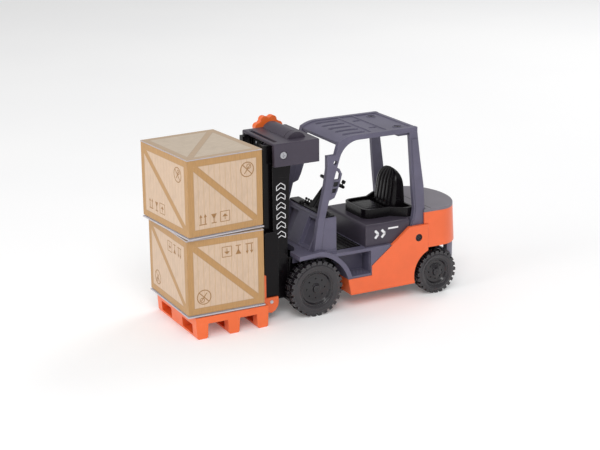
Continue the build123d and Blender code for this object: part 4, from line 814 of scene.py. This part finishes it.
# ------------------------------------------------------------------ sub-assemblies
@dataclass
class Bodywork:
    """Chassis, fenders, floor, hood and side panels."""

    floor_z: float = 51.6
    mat_reach: Point = (-47.3, -23.0)   # from the front axle
    mat_half_width: float = 30.0
    mat_thickness: float = 0.5
    mat_margin: float = 2.0             # plain strip round the ribs
    rib_start: float = 1.6
    rib_pitch: float = 4.0
    rib_width: float = 1.2
    rib_height: float = 0.45
    rib_root: float = 0.05              # sunk into the mat
    tread_z: float = 29.0
    tread_spot: Point = (69.0, 26.6)    # first stud, from the rear axle and the middle
    stud_rows: int = 3
    studs_in_row: int = 4
    stud_pitch: float = 3.4
    stud_radius: float = 1.0
    stud_height: float = 0.5
    # painted shadow along the hood's parting line: where it lies and its size
    seam_ahead: float = 5.0             # of the rear axle
    seam_half_length: float = 36.0
    seam_width: float = 0.5
    seam_thickness: float = 0.06
    seam_sunk: float = 0.02
    panel_face: float = 38.9
    panel_screw: Point = (18.5, 53.2)   # ahead of the rear axle, and up
    recess_radius: float = 3.28
    recess_depth: float = 1.4
    # painted shade in the screw recesses: width of the black ring on the recess floor, and thickness
    # of the black sheets
    painted_shade_width: float = 0.95
    painted_shade_skin: float = 0.06
    badge_spot: Point = (-64.0, 61.4)   # from the front axle, and up
    badge_chevrons: Point = (-5.8, 0.6)     # where each chevron starts
    badge_bar: Point = (7.0, 17.0)
    print_depth: float = 0.05

    def dress(self) -> None:
        """Gives the moulded panels their finishes."""
        dress(Finish.ORANGE, "side_panel_left", "side_panel_right", "counterweight")
        dress(Finish.GREY, "front_body", "cowl", "rear_bumper")
        dress(Finish.HOOD, "top_cover")
        dress(Finish.DARK, "engine_cover")
        dress(Finish.BLACK, "chassis", "dashboard", "control_levers")
        dress(Finish.DARK_SCREW, "panel_screws", "chassis_screws")

    def build(self) -> None:
        """Adds the floor mat, the studs, the painted shadow along the hood seam, the painted shade in
        the screw recesses and the badge.
        """
        self.floor_mat()
        self.step_studs()
        self.hood_seam_shadow()
        self.recess_painted_shades()
        self.badge()

    def floor_mat(self) -> None:
        """A ribbed mat on the cab floor."""
        shape = Shape()
        low_x, high_x = (FRONT_AXLE_X + reach for reach in self.mat_reach)
        side = self.mat_half_width
        top = self.floor_z + self.mat_thickness
        shape.block((low_x, -side, self.floor_z), (high_x, side, top), 0.15)
        count = int((high_x - low_x - self.mat_margin) / self.rib_pitch)
        rib_side = side - self.mat_margin
        for index in range(count + 1):
            x = low_x + self.rib_start + index * self.rib_pitch
            low = (x, -rib_side, top - self.rib_root)
            shape.block(low, (x + self.rib_width, rib_side, top + self.rib_height), 0.2)
        shape.publish("floor_mat", Finish.BLACK, "truck")

    def step_studs(self) -> None:
        """Rows of anti-slip studs on the treads of both foot steps."""
        for side, hand in SIDES:
            shape = Shape()
            for row in range(self.stud_rows):
                for place in range(self.studs_in_row):
                    stagger = (row % 2) * self.stud_pitch / 2
                    x = REAR_AXLE_X + self.tread_spot[0] + place * self.stud_pitch + stagger
                    y = side * (self.tread_spot[1] + row * self.stud_pitch)
                    plane = Matrix.Translation((x, y, self.tread_z))
                    radii = (self.stud_radius, self.stud_radius * 0.45)
                    shape.prism(plane, (0.0, 0.0), radii, 4, 0.0, self.stud_height)
            shape.publish(f"step_studs_{hand}", Finish.GREY, "truck")

    def hood_seam_shadow(self) -> None:
        """Painted shadow: a dark strip laid along the parting line that crosses the hood top."""
        _, high = extent("top_cover")
        shape = Shape()
        x = REAR_AXLE_X + self.seam_ahead
        plane = Matrix.Translation((0.0, 0.0, high.z - self.seam_sunk))
        reach = self.seam_half_length
        shape.bar(plane, (x, -reach), (x, reach), self.seam_width, self.seam_thickness)
        shape.publish("hood_seam_shadow", Finish.PAINTED_SHADOW, "truck")

    def recess_painted_shades(self) -> None:
        """Painted shade: black rings laid on the floor and wall of the screw recesses in the side
        panels, where shade falls.
        """
        for side, hand in SIDES:
            shape = Shape()
            ahead, up = self.panel_screw
            depth = side * (self.panel_face - self.recess_depth)
            plane = wall_plane(Vector((REAR_AXLE_X + ahead, depth, up)), Vector((0, side, 0)))
            skin = self.painted_shade_skin
            shape.ring(plane, (0.0, 0.0), self.recess_radius, self.painted_shade_width, skin)
            shape.ring(plane, (0.0, 0.0), self.recess_radius, skin, self.recess_depth - 0.04)
            shape.publish(f"recess_painted_shade_{hand}", Finish.BLACK, "truck")

    def badge(self) -> None:
        """A plain printed mark on each side of the engine cover: two chevrons and a bar."""
        _, high = extent("engine_cover")
        for side, hand in SIDES:
            shape = Shape()
            ahead, up = self.badge_spot
            origin = Vector((FRONT_AXLE_X + ahead, side * high.y, up))
            plane = wall_plane(origin, Vector((0, side, 0)))
            for left in self.badge_chevrons:
                for foot in (3.4, -3.4):
                    shape.bar(plane, (left, foot), (left + 3.2, 0.0), 2.2, self.print_depth)
            start, end = (side * reach for reach in self.badge_bar)
            shape.bar(plane, (start, 3.6), (end, 3.6), 1.5, self.print_depth)
            shape.publish(f"badge_{hand}", Finish.WHITE_INK, "truck")


@dataclass
class Cab:
    """Overhead guard, pillars, steering and seat."""

    cushion_cuts: int = 22
    cushion_inset: float = 0.05
    channel_count: int = 4
    channel_depth: float = 0.10         # share of the cushion's height
    crown_drop: float = 0.32
    cushion_draft: float = 0.02
    back_cuts: int = 40
    back_channels: int = 3
    back_groove: float = 0.055          # share of the backrest's depth
    groove_span: Point = (0.16, 0.97)   # shares of its height
    back_narrowing: float = 0.10
    shoulder: float = 0.55              # share of its height where the rounded top starts
    handle_spot: Point = (-22.1, 115.6)     # from the front axle, and up
    socket_face: float = 32.3
    # painted shade: thickness of the dark strips in the grab-handle pockets
    pocket_shade_depth: float = 0.3

    def dress(self) -> None:
        """Gives the cab's mouldings their finishes."""
        dress(Finish.GREY, "overhead_guard", "rear_pillar_left", "rear_pillar_right")
        dress(Finish.DARK_SCREW, "roof_screws")
        dress(Finish.BLACK, "steering_column", "steering_wheel", "spinner_knob")
        dress(Finish.SEAT, "seat_tray", "seat_back")

    def build(self) -> None:
        """Adds the seat's rounded pieces and the painted shade in the pockets under the grab handles.
        """
        self.cushion()
        self.backrest()
        self.handle_pocket_shades()

    def backrest(self) -> None:
        """The channelled backrest, rounded at the top and dished across."""
        low, high = extent("seat_back")
        shape = Shape()
        verts = shape.block(low, high)
        edges = list({edge for vert in verts for edge in vert.link_edges})
        bmesh.ops.subdivide_edges(shape.bm, edges=edges, cuts=self.back_cuts, use_grid_fill=True)
        half_width = (high.y - low.y) / 2
        height = high.z - low.z
        depth = high.x - low.x
        for vert in shape.bm.verts:
            ahead = (vert.co.x - low.x) / depth
            side = vert.co.y / half_width
            rise = (vert.co.z - low.z) / height
            cap = max(0.0, rise - self.shoulder) / (1.0 - self.shoulder)
            narrowed = 1.0 - self.back_narrowing * rise
            side_reach = narrowed * (1.0 - cap**2.6) ** 0.42 if cap < 1.0 else 0.0
            front = 1.0 - 0.36 * rise - 0.30 * cap**3
            back = 0.02 + 0.10 * rise + 0.20 * cap**3
            thin = 1.0 - 0.30 * abs(side) ** 4
            channel = math.cos(side * math.pi * self.back_channels) ** 10 * (1.0 - cap**4)
            grooved = self.groove_span[0] < rise < self.groove_span[1]
            groove = self.back_groove * channel if grooved else 0.0
            face = back + (front - back) * thin
            vert.co.x = low.x + depth * (back + (face - back - groove * ahead) * ahead)
            vert.co.y = side * half_width * side_reach
        piece = shape.publish("seat_backrest", Finish.SEAT, "truck", 50.0)
        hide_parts("seat_back")

    def handle_pocket_shades(self) -> None:
        """Painted shade: dark strips laid in the two blind pockets under each grab handle, where
        shade falls.
        """
        for side, hand in SIDES:
            ahead, up = self.handle_spot
            origin = Vector((FRONT_AXLE_X + ahead, side * self.socket_face, up))
            plane = wall_plane(origin, Vector((0, side, 0)))
            shape = Shape()
            for top, foot, width in (
                ((0.2, -3.5), (1.2, -7.1), 4.2),
                ((1.8, -8.9), (2.7, -12.2), 3.4),
            ):
                start, end = (-side * top[0], top[1]), (-side * foot[0], foot[1])
                shape.bar(plane, start, end, width, self.pocket_shade_depth)
            shape.publish(f"handle_pocket_shades_{hand}", Finish.PAINTED_SHADOW, "truck")

    def cushion(self) -> None:
        """The crowned seat cushion with its channels."""
        low, high = extent("seat_cushion")
        shape = Shape()
        inset = Vector((self.cushion_inset, self.cushion_inset, 0.0))
        verts = shape.block(low + inset, high - inset)
        edges = list({edge for vert in verts for edge in vert.link_edges})
        bmesh.ops.subdivide_edges(
            shape.bm, edges=edges, cuts=self.cushion_cuts, use_grid_fill=True
        )
        middle = (low + high) / 2
        half = (high - low) / 2 - inset
        for vert in shape.bm.verts:
            across = (vert.co.x - middle.x) / half.x
            along = (vert.co.y - middle.y) / half.y
            rise = (vert.co.z - low.z) / (high.z - low.z)
            crown = 1.0 - self.crown_drop * (across**6 + along**6)
            channel = math.cos(along * math.pi * self.channel_count) ** 12
            drop = self.channel_depth * channel * (1.0 - across**4)
            vert.co.z = low.z + (high.z - low.z) * rise * (crown - drop * rise)
            pull = 1.0 - self.cushion_draft * rise
            vert.co.x = middle.x + (vert.co.x - middle.x) * pull
            vert.co.y = middle.y + (vert.co.y - middle.y) * pull
        piece = shape.publish("seat_cushion_top", Finish.SEAT, "truck", 60.0)
        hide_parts("seat_cushion")


@dataclass
class Mast:
    """Uprights, winch, carriage and forks."""

    cord_radius: float = 0.6
    cord_keep: float = 0.2458
    cord_sides: int = 20
    chevron_count: int = 6
    chevron_pitch: float = 8.2
    chevron_line: float = 0.62
    chevron_shape: tuple[Point, ...] = (
        (-3.9, -3.0),
        (0.0, -0.6),
        (3.9, -3.0),
        (3.9, 0.6),
        (0.0, 3.2),
        (-3.9, 0.6),
    )
    print_spot: Point = (26.0, 92.5)    # from the front axle, and up
    print_depth: float = 0.05

    def dress(self) -> None:
        """Gives the mast's parts their finishes."""
        dress(
            Finish.BLACK,
            "mast_side_left",
            "mast_side_right",
            "mast_rail_left",
            "mast_rail_right",
            "mast_cross_members",
            "carriage",
            "lift_drum",
            "guide_pulley",
        )
        dress(Finish.DARK, "mast_head", "drum_cover")
        dress(Finish.SCREW, "head_screws")
        dress(Finish.KNOB, "winding_knob")
        dress(Finish.PALLET, "fork_left", "fork_right")
        dress(Finish.STEEL, "drum_shaft", "pulley_pin", "fork_pins")
        dress(Finish.WOUND, "cord_winding")
        dress(Finish.CORD, "lift_cord_run")

    def build(self) -> None:
        """Adds the printed column on the mast sides and the hanging cord."""
        self.side_print()
        self.hanging_cord()

    def side_print(self) -> None:
        """A column of outlined arrowheads up each mast side."""
        for side, hand in SIDES:
            low, high = extent(f"mast_side_{hand}")
            face = high.y if side > 0 else low.y
            ahead, up = self.print_spot
            plane = wall_plane(Vector((FRONT_AXLE_X + ahead, face, up)), Vector((0, side, 0)))
            shape = Shape()
            for index in range(self.chevron_count):
                rise = (index - (self.chevron_count - 1) / 2) * self.chevron_pitch
                points = [(across, rise + height) for across, height in self.chevron_shape]
                shape.outline(plane, points, self.chevron_line, self.print_depth)
            shape.publish(f"mast_print_{hand}", Finish.WHITE_INK, "truck")

    def hanging_cord(self) -> None:
        """The cord from the pulley to the carriage, which shortens as the carriage rises."""
        low, high = extent("lift_cord_drop")
        shape = Shape()
        length = high.z - low.z
        plane = Matrix.Translation(((low.x + high.x) / 2, 0.0, low.z))
        radii = (self.cord_radius, self.cord_radius)
        shape.prism(plane, (0.0, 0.0), radii, self.cord_sides, 0.0, length)
        cord = shape.publish("lift_cord_hanging", Finish.CORD, "truck")
        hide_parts("lift_cord_drop")
        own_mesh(cord)


@dataclass
class Wheels:
    """Tyres, rims and axles."""

    def dress(self) -> None:
        """Gives the wheels their finishes."""
        for end in ("front", "rear"):
            for _, hand in SIDES:
                dress(Finish.TYRE, f"tyre_{end}_{hand}")
                dress(Finish.RIM, f"rim_{end}_{hand}")
            dress(Finish.STEEL, f"axle_{end}")


@dataclass
class Crate:
    """One printed cardboard crate with its handling marks."""

    name: str
    turn: float
    inverted: bool
    half_length: float = 33.7
    half_width: float = 40.1
    ink: float = 0.05
    line: float = 0.75
    hooks_share: float = 0.295      # of the wall's width, from its middle
    hooks_up: float = 17.0
    marks_share: float = -0.31
    marks_up: float = -18.0
    glass_after: float = 9.8
    umbrella_after: float = 19.8
    lid_colour: Colour = (0.52, 0.43, 0.335)
    lid_frame_colour: Colour = (0.48, 0.35, 0.235)

    def walls(self) -> tuple[float, float]:
        """Bottom and top of the printed walls."""
        low, high = extent(f"{self.name}_crate_sleeve")
        return low.z, high.z

    def middle_x(self) -> float:
        """Where the crate's middle lies along the truck."""
        return middle_x(f"{self.name}_crate_sleeve")

    def dress(self) -> None:
        """Prints the walls and the lid and leaves the base white."""
        bottom, top = self.walls()
        common = {
            "turn": self.turn,
            "centre": (self.middle_x(), 0.0, (bottom + top) / 2),
            "half_length": self.half_length,
            "half_width": self.half_width,
            "half_height": (top - bottom) / 2,
        }
        dress(CrateBoard(f"{self.name}_crate_print", **common), f"{self.name}_crate_sleeve")
        lid = CrateBoard(
            f"{self.name}_lid_print",
            top=True,
            slat_colour=self.lid_colour,
            frame_colour=self.lid_frame_colour,
            **common,
        )
        dress(lid, f"{self.name}_crate_lid")
        dress(Finish.CARD, f"{self.name}_crate_base")

    def build(self) -> None:
        """Adds the handling marks on all four walls."""
        bottom, top = self.walls()
        turn = Matrix.Rotation(math.radians(self.turn), 4, "Z")
        place = Matrix.Translation((self.middle_x(), 0.0, 0.0)) @ turn
        shape = Shape()
        for outward, reach in (
            (Vector((0, 1, 0)), self.half_width),
            (Vector((0, -1, 0)), self.half_width),
            (Vector((1, 0, 0)), self.half_length),
            (Vector((-1, 0, 0)), self.half_length),
        ):
            origin = outward * reach + Vector((0.0, 0.0, (bottom + top) / 2))
            plane = place @ wall_plane(origin, outward, self.inverted)
            width = 2 * (self.half_length if outward.y else self.half_width)
            self.no_hooks(shape, plane, (width * self.hooks_share, self.hooks_up))
            first = width * self.marks_share
            self.this_way_up(shape, plane, (first, self.marks_up))
            self.fragile(shape, plane, (first + self.glass_after, self.marks_up))
            self.keep_dry(shape, plane, (first + self.umbrella_after, self.marks_up))
        body = f"{self.name}_crate"
        shape.publish(f"{body}_marks", Finish.BROWN_INK, body)

    def no_hooks(self, shape: Shape, plane: Matrix, at: Point) -> None:
        """A ring with two crossed strokes."""
        x, y = at
        shape.ring(plane, at, 6.3, self.line, self.ink)
        shape.bar(plane, (x - 4.1, y + 4.1), (x + 4.1, y - 4.1), self.line, self.ink)
        shape.bar(plane, (x - 2.6, y - 3.4), (x + 2.6, y + 3.2), self.line * 0.9, self.ink)
        shape.ring(plane, (x + 1.6, y + 2.4), 2.1, self.line * 0.8, self.ink)

    def this_way_up(self, shape: Shape, plane: Matrix, at: Point) -> None:
        """Two upright arrows on a line."""
        for step in (-2.0, 2.0):
            x = at[0] + step
            shape.bar(plane, (x, at[1] - 3.4), (x, at[1] + 2.0), self.line, self.ink)
            shape.prism(plane, (x, at[1] + 2.8), (1.5, 1.5), 3, 0.0, self.ink, 1.2)
        foot = at[1] - 3.9
        shape.bar(plane, (at[0] - 3.4, foot), (at[0] + 3.4, foot), self.line, self.ink)

    def fragile(self, shape: Shape, plane: Matrix, at: Point) -> None:
        """A stemmed glass."""
        x, y = at
        shape.prism(plane, (x, y + 2.0), (2.9, 2.9), 3, 180.0, self.ink)
        shape.bar(plane, (x, y - 3.4), (x, y + 1.0), self.line, self.ink)
        shape.bar(plane, (x - 2.2, y - 3.9), (x + 2.2, y - 3.9), self.line, self.ink)

    def keep_dry(self, shape: Shape, plane: Matrix, at: Point) -> None:
        """A framed umbrella."""
        x, y = at
        corners = [(x - 4.2, y - 4.2), (x + 4.2, y - 4.2), (x + 4.2, y + 4.2), (x - 4.2, y + 4.2)]
        shape.outline(plane, corners, self.line * 0.7, self.ink)
        shape.prism(plane, (x, y + 0.6), (2.9, 2.9), 3, 0.0, self.ink, 0.55)
        shape.bar(plane, (x, y - 2.8), (x, y + 1.0), self.line * 0.8, self.ink)


@dataclass
class Load:
    """The slotted pallet and both crates."""

    def crates(self) -> tuple[Crate, Crate]:
        """The lower crate, which stands on its head, and the upper one."""
        return Crate("lower", -0.6, True), Crate("upper", 4.3, False)

    def dress(self) -> None:
        """Gives the pallet and the crates their finishes."""
        dress(Finish.PALLET, "pallet")
        for crate in self.crates():
            crate.dress()

    def build(self) -> None:
        """Adds the crates' handling marks."""
        for crate in self.crates():
            crate.build()


# ------------------------------------------------------------------ studio
@dataclass
class Studio:
    """Floor, lights and camera."""

    yaw: float = 27.711
    pitch: float = 17.195
    roll: float = -0.547
    lens: float = 88.163
    ahead: float = 0.667823             # of the rear axle, metres
    aside: float = 1.055553
    height: float = 0.437551
    floor_reach: float = 8.0
    world_strength: float = 0.50
    floor_glow: float = 0.10

    def build(self) -> None:
        """Builds the studio."""
        self.floor()
        self.world()
        self.softbox("key_light", at=(0.7, 1.4, 1.6), size=1.2, power=20.0)
        self.softbox("front_light", at=(1.7, 0.1, 0.8), size=0.9, power=8.0)
        self.softbox("back_light", at=(-1.4, -0.7, 1.4), size=1.0, power=10.0)
        self.camera()

    def floor(self) -> None:
        """A plain pale floor under the wheels."""
        bm = bmesh.new()
        bmesh.ops.create_grid(bm, x_segments=1, y_segments=1, size=self.floor_reach)
        mesh = bpy.data.meshes.new("floor")
        bm.to_mesh(mesh)
        bm.free()
        graph = Graph("floor_paint")
        haze = graph.noise(graph.coordinates(), 3.0, 2.0)
        colour = graph.mix(haze.ramp(0.3, 0.7), (0.93, 0.93, 0.935), (0.95, 0.95, 0.95))
        graph.finish(
            colour,
            0.9,
            haze,
            0.00001,
            Specular_IOR_Level=0.1,
            Emission_Color=(1.0, 1.0, 1.0, 1.0),
            Emission_Strength=self.floor_glow,
        )
        mesh.materials.append(graph.material)
        floor = bpy.data.objects.new("floor", mesh)
        bpy.context.scene.collection.objects.link(floor)
        floor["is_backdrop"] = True

    def world(self) -> None:
        """Even pale light from all round."""
        world = bpy.data.worlds.new("studio")
        world.use_nodes = True
        background = world.node_tree.nodes["Background"]
        background.inputs["Color"].default_value = (1.0, 1.0, 1.0, 1.0)
        background.inputs["Strength"].default_value = self.world_strength
        bpy.context.scene.world = world

    def softbox(self, name: str, at: tuple[float, float, float], size: float, power: float) -> None:
        """Adds one square soft light that faces the toy."""
        light = bpy.data.lights.new(name, "AREA")
        light.size = size
        light.energy = power
        lamp = bpy.data.objects.new(name, light)
        aim = Vector((0.0, 0.0, 0.06)) - Vector(at)
        turn = aim.to_track_quat("-Z", "Y").to_matrix().to_4x4()
        lamp.matrix_world = Matrix.Translation(at) @ turn
        bpy.context.scene.collection.objects.link(lamp)

    def camera(self) -> None:
        """A long lens from the front left, a little above the roof."""
        yaw, pitch, roll = (math.radians(angle) for angle in (self.yaw, self.pitch, self.roll))
        back = Vector(
            (math.cos(pitch) * math.sin(yaw), math.cos(pitch) * math.cos(yaw), math.sin(pitch))
        )
        right = (-back).cross(Vector((0, 0, 1))).normalized()
        up = right.cross(-back)
        turned_right = math.cos(roll) * right + math.sin(roll) * up
        turned_up = math.cos(roll) * up - math.sin(roll) * right
        axes = Matrix((turned_right, turned_up, back)).transposed().to_4x4()
        data = bpy.data.cameras.new("camera")
        data.sensor_width = 36.0
        data.lens = self.lens
        data.clip_start = 0.01
        data.clip_end = 50.0
        camera = bpy.data.objects.new("camera", data)
        place = Vector((REAR_AXLE_X * MM + self.ahead, self.aside, self.height))
        camera.matrix_world = Matrix.Translation(place) @ axes
        bpy.context.scene.collection.objects.link(camera)
        bpy.context.scene.camera = camera
        bpy.context.scene.view_settings.view_transform = "Standard"


def main() -> None:
    """Builds the studio, then the truck from the ground up, then its load."""
    logging.basicConfig(level=logging.INFO, format="%(message)s")
    Studio().build()
    Wheels().dress()
    for part in (Bodywork(), Cab(), Mast(), Load()):
        part.dress()
        part.build()
    boxes = {"cad": CAD_BOX, "visual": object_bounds()}
    sizes = {name: [list(corner) for corner in box] for name, box in boxes.items()}
    log.info("visual box %s", sizes["visual"])


if __name__ == "__main__":
    main()
